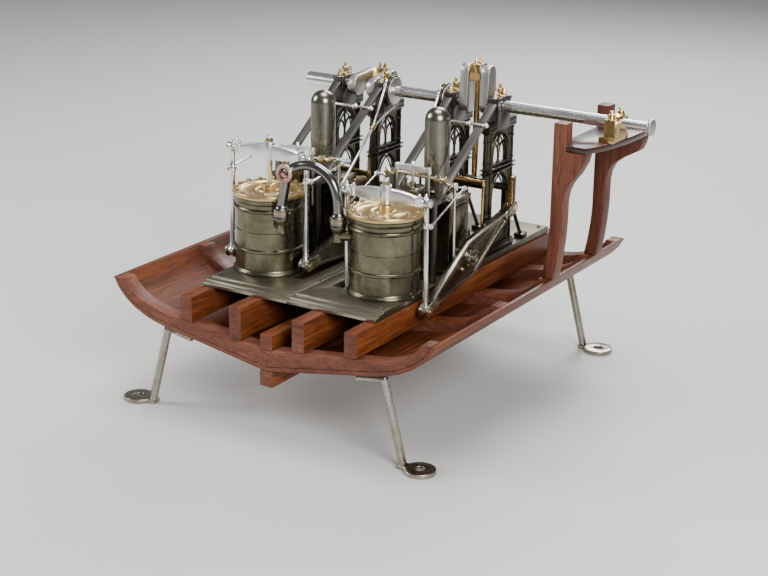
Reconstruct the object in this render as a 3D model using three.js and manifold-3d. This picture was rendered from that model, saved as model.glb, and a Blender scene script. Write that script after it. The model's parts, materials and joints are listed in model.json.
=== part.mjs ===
import * as THREE from 'three';
import { mergeVertices } from 'three/addons/utils/BufferGeometryUtils.js';
import Module from 'manifold-3d';

// A model of a twin side-lever marine engine on a section of its wooden hull.
// Millimetres. X runs across the hull along the paddle shaft, Y runs aft from
// the hull's front face, Z is up from the floor.

const wasm = await Module();
wasm.setup();

// ---------- driving dimensions ----------

const fit = 0.3; // gap between pieces that touch
const runningGap = 0.3; // radial clearance of a pin or shaft in its bearing
const overrun = 1; // how far a cutting tool runs past a face

// hull
const hullLength = 332;
const hullHalfWidth = 150;
const gunwaleZ = 106;
const hullBottomZ = 55.5; // outside of the planking at the centre
const bilgeX = 98; // where the straight floor turns up
const bilgeRise = 17; // how far the floor rises out to there
const plankThickness = 3.5;
const ribFaceZ = 72.8; // top of the ribs at the centre
const ribBilgeRise = 11.7;
const bilgeEase = 0.45; // shape of the turn of the bilge
const sideEase = 0.54;
const sideTumble = 0.14;
const ribSideDepth = 11.5; // rib and planking together at the gunwale
const frontRibDepth = 14;
const innerRibs = [[107, 121], [188, 204], [268, 284], [318, 332]]; // front and back of each
const keelWidth = 12;
const keelHeight = 12.2;
const keelsonWidth = 11.2;
const keelsonHeight = 13.2;
const bearerWidth = 11.2;
const bearerTopZ = 102.6;
const bearerCentres = [-77, -29.6, 29.6, 77];

// legs
const legRows = [9, 323];
const legTopX = bilgeX + 4;
const legFootX = legTopX + 17.5;
const legRadius = 3.3;
const legStrapLength = 24;
const footRingRadius = 12.6;
const footBridgeHalf = 4;
const footHoleRadius = 4.2;
const footThickness = 3.6;
const footReach = 15; // ring centre outboard of the leg

// bedplates
const bedHalfWidth = 81.6;
const bedFrontY = 28.5;
const bedRearY = 318.7;
const bedSteps = [[0, 3], [4.5, 4.4], [12, 5.7]]; // setback of each step's front and its height
const leverSlotHalfWidth = 5.6;

// engines
const engineX = 55.1; // each engine's centre line from the hull's
const cylinderY = 84.6;
const cylinderRadius = 28;
const cylinderBore = 24.5;
const cylinderHeight = 62.9;
const cylinderFloor = 3;
const bandHeight = 2.6;
const bandProud = 1.2;
const bandLevels = [19.6, 53.8]; // raised bands above the cylinder's foot
const flangeProud = 1.8;
const flangeHeight = 3.2;
const coverRadius = cylinderRadius + flangeProud + 0.5;
const coverHeight = 3.4;
const coverDish = 1.7;
const coverDishRadius = 22.5;
const glandRadius = 6.1;
const glandHeight = 4.2; // above the cover
const pistonRodRadius = 2.6;
const pistonHeight = 6;
const pistonDrop = 70.6; // piston centre below the crosshead's pins

// crosshead
const crossheadHalf = 2.4; // half thickness of its plate
const crossheadRise = 6.4; // above and below its pins, in the middle
const crossheadDrop = 5.4;
const crossheadBossRadius = 4.6;
const crossheadBossDrop = 5.6;
const crossheadPinRadius = 2;
const crossheadCollarRadius = 3;
const crossheadCapLength = 2; // nut outside each side rod
const crossheadNeckTop = 9; // top of the middle boss
const crossheadNutRadius = 2.2;
const crossheadNutTop = 14.5;

// linkage
const leverHalfLength = 74.5;
const pinDrawIn = 2.3; // how far the levers' pins draw in, on average, as they swing
const mainY = cylinderY + leverHalfLength - pinDrawIn; // main centre of the levers
const mainZ = 124;
const shaftY = mainY + leverHalfLength - pinDrawIn;
const shaftZ = 233.6;
const crankRadius = 26;
const conRodLength = 109.62;
const sideRodClearance = 5.9; // side rods' line outboard of the covers
const sideLine = coverRadius + sideRodClearance; // levers and side rods from the engine's centre line
const sideRodLength = 88;
const sideRodRadius = 2.2;
const sideRodNut = [1.9, 0.8, 3.5]; // foot radius, top radius and height
const collarRadius = 2.9;
const collarHalf = 1.9;
const collarDrop = 18.3; // parallel-motion collar below the crosshead's pins
const motionPinAlong = 19.4; // motion rod's pin from the main centre
const pumpY = mainY + 31.2;

// levers
const leverHalfDepth = 15.6;
const leverEndHalfDepth = 4;
const leverPlateHalf = 1.4; // half thickness of the web
const leverRimHalf = 2.9;
const leverRimWidth = 2.6;
const leverTipRimWidth = 1.8;
const leverBossRadius = 8;
const leverBossHalf = 3.4;
const forkGapHalf = 2.6;
const forkHalf = 4.1;
const forkEndRadius = 5.2;
const forkReach = 13;
const forkOverlap = 4; // web carried on into the fork
const forkGapRoom = 2.6; // behind the eye in the fork
const leverPanelMargin = 7; // from the web's end to its recessed panel
const eyeRadius = 4;
const eyeHalf = 2.2;

const leverSlotEndGap = 5; // past the levers' ends
const leverSlotFrontY = mainY - leverHalfLength - forkEndRadius - leverSlotEndGap;
const leverSlotRearY = mainY + leverHalfLength + forkEndRadius + leverSlotEndGap;

// paddle shaft
const shaftRadius = 4.8;
const stubRadius = 6.3;
const stubStartX = -113;
const stubEndX = -84;
const outerJournalRadius = 3.9;
const endFlangeRadius = 6.7;
const endFlangeThickness = 3;
const webCentre = 9.7; // crank webs from the engine's centre line
const webHalf = 3.8;
const webShaftRadius = 8.5;
const webPinRadius = 6.4;
const bigEndHalf = 5.5;

// eccentrics
const sheaveX = 26.1;
const eccentricity = 2.4;
const eccentricAngle = THREE.MathUtils.degToRad(173); // from +Y towards +Z
const sheaveRadius = 10;
const sheaveCheekRadius = 11.7;
const sheaveCheek = 1.1;
const strapInner = 10.95;
const strapOuter = 13;
const strapHalf = 1.7;
const eccentricPinZ = 168.5;
const gabHalf = 1.5; // eye on the fixed pin
const gabRadius = 2.6;
const prongRadius = 1.1;
const strapLugRadius = 1.5;
const strapLugBack = 5; // where a prong ends, short of the strap's middle
const eccentricJointRadius = 2.1;
const eccentricJointAlong = 62; // where the forked part of the rod ends, from its pin

// frames and bearings
const frameX = 21; // frames from the engine's centre line
const frameThickness = 8;
const framePanelThickness = 3.2;
const columnSpread = 18.5; // columns fore and aft of the shaft
const columnRadius = 3.2;
const frameHalfDepth = 24;
const frameFootHeight = 5;
const frameFootSpread = 2; // foot beyond the entablature, fore and aft
const lowerPanelTop = 125;
const midRailBottom = 178.5; // crown of the lower arch
const midRailTop = 186;
const springing = 19; // height of an arch
const entablatureZ = 214;
const entablatureHeight = 8;
const bearingHalfDepth = 10.8;
const bearingHalfWidth = 4.5;
const bearingTopZ = 241.5;
const bearingNutSpread = 8;
const bearingNut = [2, 0.8, 5.6]; // foot radius, top radius and height
const lubricatorHeight = 11;
const lubricatorRadius = 2.4;
const lubricatorTopRadius = 1.4;
const strutTopZ = 158;
const strutFootY = shaftY + 47;
const strutRadius = 1.7;
const strutFootHalf = 5;
const strutFootHeight = 3.5;
const archMargin = 0.3; // openings stop short of the columns' faces

// stays
const stayWidth = 7.5;
const stayThickness = 2.2;
const stayFootZ = 175.5;
const staySlope = THREE.MathUtils.degToRad(34);
const stayColumnRadius = 2.6;
const stayTopGap = 1.6; // in front of the bearings
const crossRodY = shaftY - 34;
const crossRodRadius = 1.3;
const crossRodOverhang = 2;
const stayFootPlate = [9, 3, 2]; // in front of and behind the line's start, half height
const stayPedestalHalf = 2.25;
const stayBearingHalf = 2.75; // half width of the radius shaft's bearings
const stayBearingRadius = 3.4;

// valve gear and parallel motion
const chestHalfWidth = 9;
const chestDepth = 20;
const chestHeight = 72;
const chestLidOverhang = 1.6;
const chestLidHeight = 3;
const valveCrossheadZ = 199.6;
const valveRodSpread = 14.6;
const valveRodRadius = 1.1;
const valveRodLength = 46;
const spindleRadius = 1.2;
const spindleLength = 20;
const spindleBoreDepth = 14;
const valveGlandHeight = 4.5;
const valveGlandFoot = 3.6;
const valveGlandRadius = 2.6;
const valveBeamHalf = 1.4; // half thickness of the valve crosshead
const valveBeamEndDepth = 1.5; // half depth at its ends and beside its boss
const valveBeamDepth = 2.6;
const valveBossRadius = 2.6;
const valveEyeRadius = 2.1;
const chestFrontY = cylinderY + coverRadius + fit;
const spindleY = chestFrontY + chestDepth / 2;
const radiusShaftY = spindleY + 4.8;
const radiusShaftZ = 193;
const stayFootY = radiusShaftY - 3.4; // where a stay's sloping line starts
const radiusShaftRadius = 1.6;
const radiusHubRadius = 2.8;
const radiusCollarRadius = 2.4;
const motionRodOuter = sideLine - 3.4;
const motionRodInner = motionRodOuter - 2.4;
const radiusArmOuter = motionRodInner - 2.2;
const radiusArmInner = radiusArmOuter - 1.8;
const linkRodRadius = 1.15;
const linkEyeRadius = 2.3;
const pinRadius = 1.2;
const barRadius = 0.85;
const barNutRadius = 1.5;
const barNutHeight = 1.2;
const barInner = sideLine + 3.4;
const barOuter = barInner + 1.6;

// condenser, air vessel and air pump
const condenserHalfWidth = 25.5;
const condenserFrontY = chestFrontY + chestDepth + 6.8;
const condenserRearY = mainY + 19.2;
const condenserTopZ = 172;
const condenserFlange = 1.4;
const vesselY = mainY + 6.2;
const eccentricPinY = condenserFrontY + 5;
const vesselRadius = 10.2;
const vesselTopZ = 242;
const pumpBarrelRadius = 9;
const pumpBarrelTopZ = 150;
const pumpRodRadius = 1.5;
const pumpBeamHalf = 1.6; // half thickness of the crosshead
const pumpBossRadius = 3;
const pumpSideRodRadius = 1.2;
const pumpEyeRadius = 2;
const pumpLinkHalf = 1.3;
const pumpCrossheadRise = 42; // crosshead above the lever's pump pin
const pumpSideLine = sideLine - 6.6;
const gudgeonRadius = 3;
const gudgeonBossRadius = 7;
const gudgeonBossProud = 2;
const gabPinRadius = 1.8;
const condenserFootHeight = 4;
const condenserLidHeight = 3;
const condenserDoor = [140, 165]; // foot and head of the raised panel
const vesselCap = 1.4;
const pumpLip = 1.4;
const pumpGlandRadius = 3.5;
const ductHalfWidth = 7;
const ductHeight = 18;

// steam pipe
const pipeRadius = 3.9;
const pipeBore = 3.15;
const pipeBoreDepth = 8;
const inletFlangeRadius = 7.6;
const inletRecessRadius = 4.2;
const inletRecessDepth = 1.4;
const inletFlangeThickness = 2.2;
const inletSetback = 5.3; // inlet's face in front of the pipe's upright leg
const unionRadius = 6.8;
const unionHeight = 9;
const leftPipeAngle = THREE.MathUtils.degToRad(-40); // where each cylinder takes its steam
const rightPipeAngle = THREE.MathUtils.degToRad(-150);
const pipeSeatZ = 162;
const pipeBossRadius = 5.2;
const pipeBossFootRadius = 4.4;
const pipeBossHeight = 14;
const stubDrop = 8.7; // steam stub's axis below the union's seat
const stubPipeRadius = 4.2;
const stubSink = 1.5; // how far into the wall the stub starts
const inletZ = 198.5;
const pipeLean = 5.3; // inlet nearer the hull's centre line than its union
const pipeCrownRise = 7; // top of the bend above the inlet
const unionTaper = 2.4;

// outer bracket
const postDepth = 12;
const frontPostY = shaftY - 39;
const rearPostY = shaftY + 41;
const postWidth = 11;
const postFootX = hullHalfWidth - 10.2; // inboard face of the posts at the gunwale
const postX = postFootX + 5.5; // the same face above the tumble of the foot
const shelfTopZ = 219;
const shelfThickness = 5;
const hornTopZ = 236;
const frontArmReach = hullHalfWidth + 24.5;
const rearArmReach = hullHalfWidth + 38;
const outerBearingX = hullHalfWidth + 31;
const outerJournalX = outerBearingX - 5.2; // where the shaft steps down to its outer journal
const shaftEndX = outerBearingX + 32;
const outerBearingHalf = 4.8;
const outerBearingBase = 4;
const outerBaseHalfDepth = 15;
const outerBlockHalfDepth = 6.5;
const outerBlockRise = 6.4; // above the shaft's axis
const outerLugSpread = 9;
const outerLugHalf = 3.2;
const outerLugRise = 4;
const outerNutRadius = 3;
const outerStudRadius = 1.7;

// ---------- materials ----------

function finish(color, roughness, metalness) {
  return new THREE.MeshStandardMaterial({ color, roughness, metalness });
}

const mahogany = finish(0x8a4526, 0.45, 0);
const paleMahogany = finish(0x9c6650, 0.55, 0);
const gunmetal = finish(0x3f3d30, 0.35, 0.9);
const bedIron = finish(0x4a4636, 0.4, 0.9);
const brightSteel = finish(0xd8d8d6, 0.2, 1);
const brass = finish(0xc79a4b, 0.25, 1);
const darkBronze = finish(0x4b3a26, 0.4, 0.9);
const greySteel = finish(0x7c7a76, 0.4, 0.9);
const legSteel = finish(0x8f8d80, 0.35, 1);

// ---------- solids ----------

const v3 = (x, y, z) => new THREE.Vector3(x, y, z);

// A closed geometry as a manifold solid, faces out.
function solid(geometry) {
  const bare = geometry.clone();
  bare.deleteAttribute('normal');
  bare.deleteAttribute('uv');
  const merged = mergeVertices(bare, 1e-4);
  const index = merged.index.array;
  const triVerts = [];
  for (let i = 0; i < index.length; i += 3) {
    const [a, b, c] = [index[i], index[i + 1], index[i + 2]];
    if (a !== b && b !== c && c !== a) triVerts.push(a, b, c);
  }
  const vertProperties = new Float32Array(merged.attributes.position.array);
  const corner = i => v3().fromArray(vertProperties, 3 * triVerts[i]);
  let volume = 0;
  for (let i = 0; i < triVerts.length; i += 3) {
    volume += corner(i).dot(corner(i + 1).cross(corner(i + 2)));
  }
  if (volume < 0) triVerts.reverse();
  const mesh = new wasm.Mesh({ numProp: 3, vertProperties, triVerts: new Uint32Array(triVerts) });
  return new wasm.Manifold(mesh);
}

const join = (...solids) => solids.reduce((whole, next) => whole.add(next));
const cut = (body, ...tools) => tools.reduce((rest, tool) => rest.subtract(tool), body);

function geometryOf(body) {
  const mesh = body.getMesh();
  const geometry = new THREE.BufferGeometry();
  geometry.setAttribute('position', new THREE.BufferAttribute(new Float32Array(mesh.vertProperties), 3));
  geometry.setIndex(new THREE.BufferAttribute(new Uint32Array(mesh.triVerts), 1));
  geometry.computeVertexNormals();
  return geometry;
}

// A box between two corners.
function box(x0, x1, y0, y1, z0, z1) {
  const geometry = new THREE.BoxGeometry(x1 - x0, y1 - y0, z1 - z0);
  geometry.translate((x0 + x1) / 2, (y0 + y1) / 2, (z0 + z1) / 2);
  return solid(geometry);
}

// A round bar, or a cone, from one point to another.
function rod(from, to, radius, endRadius = radius, sides = 8) {
  const axis = to.clone().sub(from);
  const geometry = new THREE.CylinderGeometry(endRadius, radius, axis.length(), sides);
  const turn = new THREE.Quaternion().setFromUnitVectors(v3(0, 1, 0), axis.clone().normalize());
  geometry.applyQuaternion(turn);
  geometry.translate(...from.clone().addScaledVector(axis, 0.5).toArray());
  return solid(geometry);
}

function post(x, y, z0, z1, radius, endRadius, sides) {
  return rod(v3(x, y, z0), v3(x, y, z1), radius, endRadius, sides);
}

function pin(x0, x1, y, z, radius, sides) {
  return rod(v3(x0, y, z), v3(x1, y, z), radius, radius, sides);
}

// Two distances out from a centre line to one side of it, lower first.
const span = (side, a, b) => [side * a, side * b].sort((p, q) => p - q);

// A profile of [radius, height] points turned about a vertical axis.
function turned(profile, x, y, z, sides = 24) {
  const geometry = new THREE.LatheGeometry(profile.map(([r, h]) => new THREE.Vector2(r, h)), sides);
  geometry.rotateX(Math.PI / 2);
  geometry.translate(x, y, z);
  return solid(geometry);
}

// An outline in Y and Z, given thickness along X.
function sidePlate(shape, x0, x1, curveSegments = 6) {
  const settings = { depth: x1 - x0, bevelEnabled: false, curveSegments };
  const geometry = new THREE.ExtrudeGeometry(shape, settings);
  geometry.applyMatrix4(new THREE.Matrix4().makeBasis(v3(0, 1, 0), v3(0, 0, 1), v3(1, 0, 0)));
  geometry.translate(x0, 0, 0);
  return solid(geometry);
}

// An outline in X and Z, given length along Y.
function crossSection(shape, y0, y1, curveSegments = 6) {
  const settings = { depth: y1 - y0, bevelEnabled: false, curveSegments };
  const geometry = new THREE.ExtrudeGeometry(shape, settings);
  geometry.applyMatrix4(new THREE.Matrix4().makeBasis(v3(1, 0, 0), v3(0, 0, 1), v3(0, -1, 0)));
  geometry.translate(0, y1, 0);
  return solid(geometry);
}

// An outline in X and Y, given height along Z.
function levelPlate(shape, z0, z1, curveSegments = 8) {
  const settings = { depth: z1 - z0, bevelEnabled: false, curveSegments };
  const geometry = new THREE.ExtrudeGeometry(shape, settings);
  geometry.translate(0, 0, z0);
  return solid(geometry);
}

// A round bar swept along a smooth curve through the points.
function sweptBar(points, radius, steps, sides) {
  const path = new THREE.CatmullRomCurve3(points, false, 'centripetal');
  const ring = new THREE.Shape().absarc(0, 0, radius, 0, 2 * Math.PI);
  const settings = { extrudePath: path, steps, curveSegments: sides / 2, bevelEnabled: false };
  return solid(new THREE.ExtrudeGeometry(ring, settings));
}

function outline(points) {
  return new THREE.Shape(points.map(([a, b]) => new THREE.Vector2(a, b)));
}

// Two circles in one plane with the straight sides that touch both.
function strapOutline(a, radiusA, b, radiusB) {
  const along = Math.atan2(b[1] - a[1], b[0] - a[0]);
  const spread = Math.acos((radiusA - radiusB) / Math.hypot(b[0] - a[0], b[1] - a[1]));
  const shape = new THREE.Shape();
  shape.absarc(a[0], a[1], radiusA, along + spread, along - spread + 2 * Math.PI);
  shape.absarc(b[0], b[1], radiusB, along - spread, along + spread);
  return shape;
}

const model = new THREE.Group();

function part(parent, name, body, material, position = [0, 0, 0], turn = 0) {
  const mesh = new THREE.Mesh(geometryOf(body), material);
  mesh.name = name;
  mesh.position.set(...position);
  mesh.rotation.x = turn;
  parent.add(mesh);
  return mesh;
}

// ---------- linkage at rest ----------

// The crank pin, lever and crosshead for a crank turned from straight up towards -Y.
function linkage(turn) {
  const pinY = shaftY - crankRadius * Math.sin(turn);
  const pinZ = shaftZ + crankRadius * Math.cos(turn);
  const reach = Math.hypot(pinY - mainY, pinZ - mainZ);
  const squares = leverHalfLength ** 2 + reach ** 2 - conRodLength ** 2;
  const corner = Math.acos(squares / (2 * leverHalfLength * reach));
  const lever = Math.atan2(pinZ - mainZ, pinY - mainY) - corner;
  const tailY = mainY + leverHalfLength * Math.cos(lever);
  const tailZ = mainZ + leverHalfLength * Math.sin(lever);
  const noseY = mainY - leverHalfLength * Math.cos(lever);
  const noseZ = mainZ - leverHalfLength * Math.sin(lever);
  const sideRod = Math.asin((noseY - cylinderY) / sideRodLength);
  const crossheadZ = noseZ + sideRodLength * Math.cos(sideRod);
  const collarY = cylinderY + collarDrop * Math.sin(sideRod);
  const collarZ = crossheadZ - collarDrop * Math.cos(sideRod);
  const barLength = leverHalfLength - motionPinAlong;
  return {
    turn,
    lever,
    conRod: Math.atan2(tailY - pinY, pinZ - tailZ),
    tailY,
    tailZ,
    sideRod,
    crossheadZ,
    collarY,
    collarZ,
    linkY: collarY + barLength * Math.cos(lever),
    linkZ: collarZ + barLength * Math.sin(lever),
    motionY: mainY - motionPinAlong * Math.cos(lever),
    motionZ: mainZ - motionPinAlong * Math.sin(lever),
    pumpZ: mainZ + (pumpY - mainY) * Math.tan(lever),
  };
}

// ---------- hull ----------

// Half of a hull line from the centre out to the gunwale.
function halfLine(centreZ, rise, topX) {
  const cornerZ = centreZ + rise;
  const side = topX - bilgeX;
  const first = new THREE.Vector2(bilgeX + bilgeEase * side, cornerZ + bilgeEase * side * rise / bilgeX);
  const second = new THREE.Vector2(topX - sideTumble * side, gunwaleZ - sideEase * (gunwaleZ - cornerZ));
  const curve = new THREE.CubicBezierCurve(new THREE.Vector2(bilgeX, cornerZ), first, second,
    new THREE.Vector2(topX, gunwaleZ));
  return [new THREE.Vector2(0, centreZ), ...curve.getPoints(6)];
}

// The band between two hull lines, over both sides.
function hullBand(outer, inner) {
  const mirrored = line => line.slice(1).reverse().map(p => new THREE.Vector2(-p.x, p.y));
  const wholeOuter = [...mirrored(outer), ...outer];
  const wholeInner = [...mirrored(inner), ...inner];
  return new THREE.Shape([...wholeOuter, ...wholeInner.reverse()]);
}

const ribFaceAt = x => ribFaceZ + ribBilgeRise * Math.abs(x) / bilgeX;

function hull() {
  const insideBy = depth => halfLine(hullBottomZ + depth, bilgeRise, hullHalfWidth - depth);
  const ribFace = halfLine(ribFaceZ, ribBilgeRise, hullHalfWidth - ribSideDepth);
  const bedded = insideBy(plankThickness / 2);
  const clear = insideBy(plankThickness + fit);
  const planking = crossSection(hullBand(insideBy(0), insideBy(plankThickness)), 0, hullLength);
  const ribs = innerRibs.map(([front, back]) => crossSection(hullBand(bedded, ribFace), front, back));
  part(model, 'hull_planking', join(planking, ...ribs), mahogany);
  part(model, 'hull_front_rib', crossSection(hullBand(clear, ribFace), 0, frontRibDepth), paleMahogany);

  const keelTop = hullBottomZ - fit;
  const keelHalf = keelWidth / 2;
  const riseAtKeel = bilgeRise * keelHalf / bilgeX;
  const keelShape = outline([[-keelHalf, keelTop - keelHeight], [keelHalf, keelTop - keelHeight],
    [keelHalf, keelTop + riseAtKeel], [0, keelTop], [-keelHalf, keelTop + riseAtKeel]]);
  part(model, 'keel', crossSection(keelShape, 0, hullLength), mahogany);

  const keelsonHalf = keelsonWidth / 2;
  const keelsonShape = outline([[0, ribFaceZ + fit], [keelsonHalf, ribFaceAt(keelsonHalf) + fit],
    [keelsonHalf, ribFaceZ + keelsonHeight], [-keelsonHalf, ribFaceZ + keelsonHeight],
    [-keelsonHalf, ribFaceAt(keelsonHalf) + fit]]);
  part(model, 'keelson', crossSection(keelsonShape, 0, hullLength), mahogany);

  bearerCentres.forEach((centre, i) => {
    const [a, b] = [centre - bearerWidth / 2, centre + bearerWidth / 2];
    const shape = outline([[a, ribFaceAt(a) + fit], [b, ribFaceAt(b) + fit], [b, bearerTopZ],
      [a, bearerTopZ]]);
    part(model, `engine_bearer_${i + 1}`, crossSection(shape, 0, hullLength), mahogany);
  });
}

function legs() {
  const slope = bilgeRise / bilgeX;
  const under = x => hullBottomZ + slope * x - 3 * fit - legRadius; // axis of the bar along the planking
  const bar = (a, b) => rod(a, b, legRadius, legRadius, 10);
  for (const [row, y] of legRows.entries()) {
    for (const side of [-1, 1]) {
      const strapEnd = legTopX - legStrapLength;
      const inner = v3(side * strapEnd, y, under(strapEnd));
      const knee = v3(side * legTopX, y, under(legTopX));
      const ankle = v3(side * legFootX, y, legRadius);
      const kneeJoint = solid(new THREE.SphereGeometry(legRadius, 10, 8).translate(...knee.toArray()));
      const ringX = side * (legFootX + footReach);
      const foot = join(post(ringX, y, 0, footThickness, footRingRadius, footRingRadius, 20),
        box(...span(side, legFootX - legRadius, legFootX + footReach), y - footBridgeHalf,
          y + footBridgeHalf, 0, footThickness));
      const hole = post(ringX, y, -overrun, footThickness + overrun, footHoleRadius, footHoleRadius, 10);
      const name = `${['front', 'rear'][row]}_${side < 0 ? 'left' : 'right'}_leg`;
      const body = join(bar(inner, knee), kneeJoint, bar(knee, ankle), foot);
      part(model, name, cut(body, hole), legSteel);
    }
  }
}

// ---------- bedplates ----------

const bedBottomZ = bearerTopZ + fit;
const bedTopZ = bedBottomZ + bedSteps.at(-1)[1];
const seatZ = bedTopZ + fit; // foot of everything that stands on a bedplate

function bedplates() {
  for (const side of [-1, 1]) {
    const [a, b] = span(side, fit / 2, bedHalfWidth);
    const steps = bedSteps.map(([setback, height]) => (
      box(a, b, bedFrontY + setback, bedRearY, bedBottomZ, bedBottomZ + height)));
    const slotX = side * (engineX - sideLine);
    const slot = box(slotX - leverSlotHalfWidth, slotX + leverSlotHalfWidth, leverSlotFrontY,
      leverSlotRearY, bedBottomZ - overrun, bedTopZ + overrun);
    part(model, side < 0 ? 'left_bedplate' : 'right_bedplate', cut(join(...steps), slot), bedIron);
  }
}

// ---------- cylinder, cover and steam pipe ----------

// A steam union stands clear of the cylinder's flange.
function pipeSeat(centreX, angle) {
  const reach = cylinderRadius + flangeProud + fit + unionRadius;
  return [centreX + reach * Math.cos(angle), cylinderY + reach * Math.sin(angle)];
}

const leftPipeSeat = pipeSeat(-engineX, leftPipeAngle);
const rightPipeSeat = pipeSeat(engineX, rightPipeAngle);

function cylinder(parent, prefix, seat) {
  const r = cylinderRadius;
  const ringed = r + bandProud;
  const flange = r + flangeProud;
  const profile = [[0, 0], [flange, 0], [flange, flangeHeight], [r, flangeHeight]];
  for (const level of bandLevels) {
    profile.push([r, level], [ringed, level], [ringed, level + bandHeight], [r, level + bandHeight]);
  }
  profile.push([r, cylinderHeight - flangeHeight], [flange, cylinderHeight - flangeHeight],
    [flange, cylinderHeight], [cylinderBore, cylinderHeight], [cylinderBore, cylinderFloor],
    [0, cylinderFloor]);
  const shell = turned(profile, 0, cylinderY, seatZ, 24);
  const [seatX, seatY] = seat;
  const away = v3(seatX, seatY - cylinderY, 0).normalize();
  const stubZ = pipeSeatZ - stubDrop;
  const wallPoint = v3(0, cylinderY, stubZ).addScaledVector(away, cylinderBore + stubSink);
  const stub = rod(wallPoint, v3(seatX, seatY, stubZ), stubPipeRadius, stubPipeRadius, 10);
  const bossFootZ = pipeSeatZ - pipeBossHeight;
  const boss = post(seatX, seatY, bossFootZ, pipeSeatZ, pipeBossFootRadius, pipeBossRadius, 12);
  part(parent, `${prefix}_cylinder`, join(shell, stub, boss), gunmetal);

  const dishZ = coverHeight - coverDish;
  const bore = pistonRodRadius + runningGap;
  const glandTop = coverHeight + glandHeight;
  const coverProfile = [[bore, 0], [coverRadius, 0], [coverRadius, coverHeight],
    [coverDishRadius + 2, coverHeight], [coverDishRadius, dishZ], [glandRadius, dishZ],
    [glandRadius, glandTop], [bore, glandTop], [bore, 0]];
  const cover = turned(coverProfile, 0, cylinderY, cylinderTopZ + fit, 24);
  part(parent, `${prefix}_cylinder_cover`, cover, brass);
}

const cylinderTopZ = seatZ + cylinderHeight;

function steamPipe() {
  const [leftX, leftY] = leftPipeSeat;
  const [rightX, rightY] = rightPipeSeat;
  const inletX = leftX + pipeLean;
  const inletY = leftY - inletSetback;
  const legBottom = pipeSeatZ + fit + unionHeight - overrun;
  const run = rightX - inletX;
  const rise = pipeCrownRise;
  const crown = [v3(inletX, inletY + 1, inletZ), v3(inletX + 0.01 * run, leftY, inletZ + 0.15 * rise),
    v3(inletX + 0.15 * run, leftY + 0.8 * (rightY - leftY), inletZ + 0.65 * rise),
    v3(inletX + 0.38 * run, rightY, inletZ + rise)];
  const fall = [v3(rightX - 0.38 * run, rightY, inletZ + 0.7 * rise),
    v3(rightX - 0.13 * run, rightY, inletZ - 0.36 * rise),
    v3(rightX - 0.02 * run, rightY, inletZ - 2 * rise),
    v3(rightX, rightY, legBottom)];
  const leg = rod(v3(leftX, leftY, legBottom), v3(inletX, leftY, inletZ), pipeRadius, pipeRadius, 10);
  const pieces = [sweptBar([...crown, ...fall], pipeRadius, 18, 10), leg];
  const unionProfile = [[0, 0], [unionRadius, 0], [unionRadius, unionHeight - unionTaper],
    [pipeRadius, unionHeight], [0, unionHeight]];
  for (const [x, y] of [leftPipeSeat, rightPipeSeat]) {
    pieces.push(turned(unionProfile, x, y, pipeSeatZ + fit, 12));
  }
  const along = (from, to, radius, sides) => (
    rod(v3(inletX, from, inletZ), v3(inletX, to, inletZ), radius, radius, sides));
  pieces.push(along(inletY, inletY + inletFlangeThickness, inletFlangeRadius, 20));
  const recess = along(inletY - overrun, inletY + inletRecessDepth, inletRecessRadius, 12);
  const mouth = along(inletY - overrun, inletY + pipeBoreDepth, pipeBore, 12);
  part(model, 'steam_pipe', cut(join(...pieces), recess, mouth), gunmetal);
}

// ---------- levers ----------

// A lever's side from above: deepest in the middle, straight to its ends.
function leverOutline(halfDepth, endHalfDepth, reach) {
  return outline([[-reach, -endHalfDepth], [0, -halfDepth], [reach, -endHalfDepth],
    [reach, endHalfDepth], [0, halfDepth], [-reach, endHalfDepth]]);
}

function leverBody() {
  const reach = leverHalfLength - forkReach + forkOverlap;
  const plate = leverOutline(leverHalfDepth, leverEndHalfDepth, reach);
  const rimShape = leverOutline(leverHalfDepth, leverEndHalfDepth, reach);
  rimShape.holes.push(leverOutline(leverHalfDepth - leverRimWidth, leverEndHalfDepth - leverTipRimWidth,
    reach - leverPanelMargin));
  const pieces = [sidePlate(plate, -leverPlateHalf, leverPlateHalf),
    sidePlate(rimShape, -leverRimHalf, leverRimHalf),
    pin(-leverBossHalf, leverBossHalf, 0, 0, leverBossRadius, 16)];
  for (const way of [-1, 1]) {
    const tip = [way * leverHalfLength, 0];
    const root = [way * (leverHalfLength - forkReach), 0];
    const shape = strapOutline(root, leverEndHalfDepth, tip, forkEndRadius);
    const cheeks = sidePlate(shape, -forkHalf, forkHalf, 4);
    const gap = span(way, leverHalfLength - forkEndRadius - forkGapRoom,
      leverHalfLength + forkEndRadius + overrun);
    pieces.push(cut(cheeks, box(-forkGapHalf, forkGapHalf, ...gap, -2 * forkEndRadius, 2 * forkEndRadius)));
  }
  return join(...pieces);
}

// ---------- connecting rod ----------

const tailRise = 16; // cross-tail above the levers' pins
const tailRadius = 3.2;
const tailHub = [10, 4, 4.4]; // half width, depth and height of its middle
const strapTop = 26;
const strapHalfDepth = 3;
const strapNut = [1.6, 0.6, 2.2]; // foot radius, top radius and height
const rodNeckRadius = 2.3;
const rodBellyRadius = 3;
const bigEndHalfDepth = 6;
const bigEndHalfHeight = 7;
const bigEndEyeRadius = 4.2;
const bigEndFlange = 0.7; // how far the brasses stand out of the block
const bigEndNut = [1.9, 0.8, 5];
const bigEndNutSpread = 4.3;

// A pointed nut standing on a level face, sunk a little into it.
function pointedNut(x, y, z, [radius, tipRadius, height], sides = 6) {
  return post(x, y, z - 0.5, z + height, radius, tipRadius, sides);
}

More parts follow.
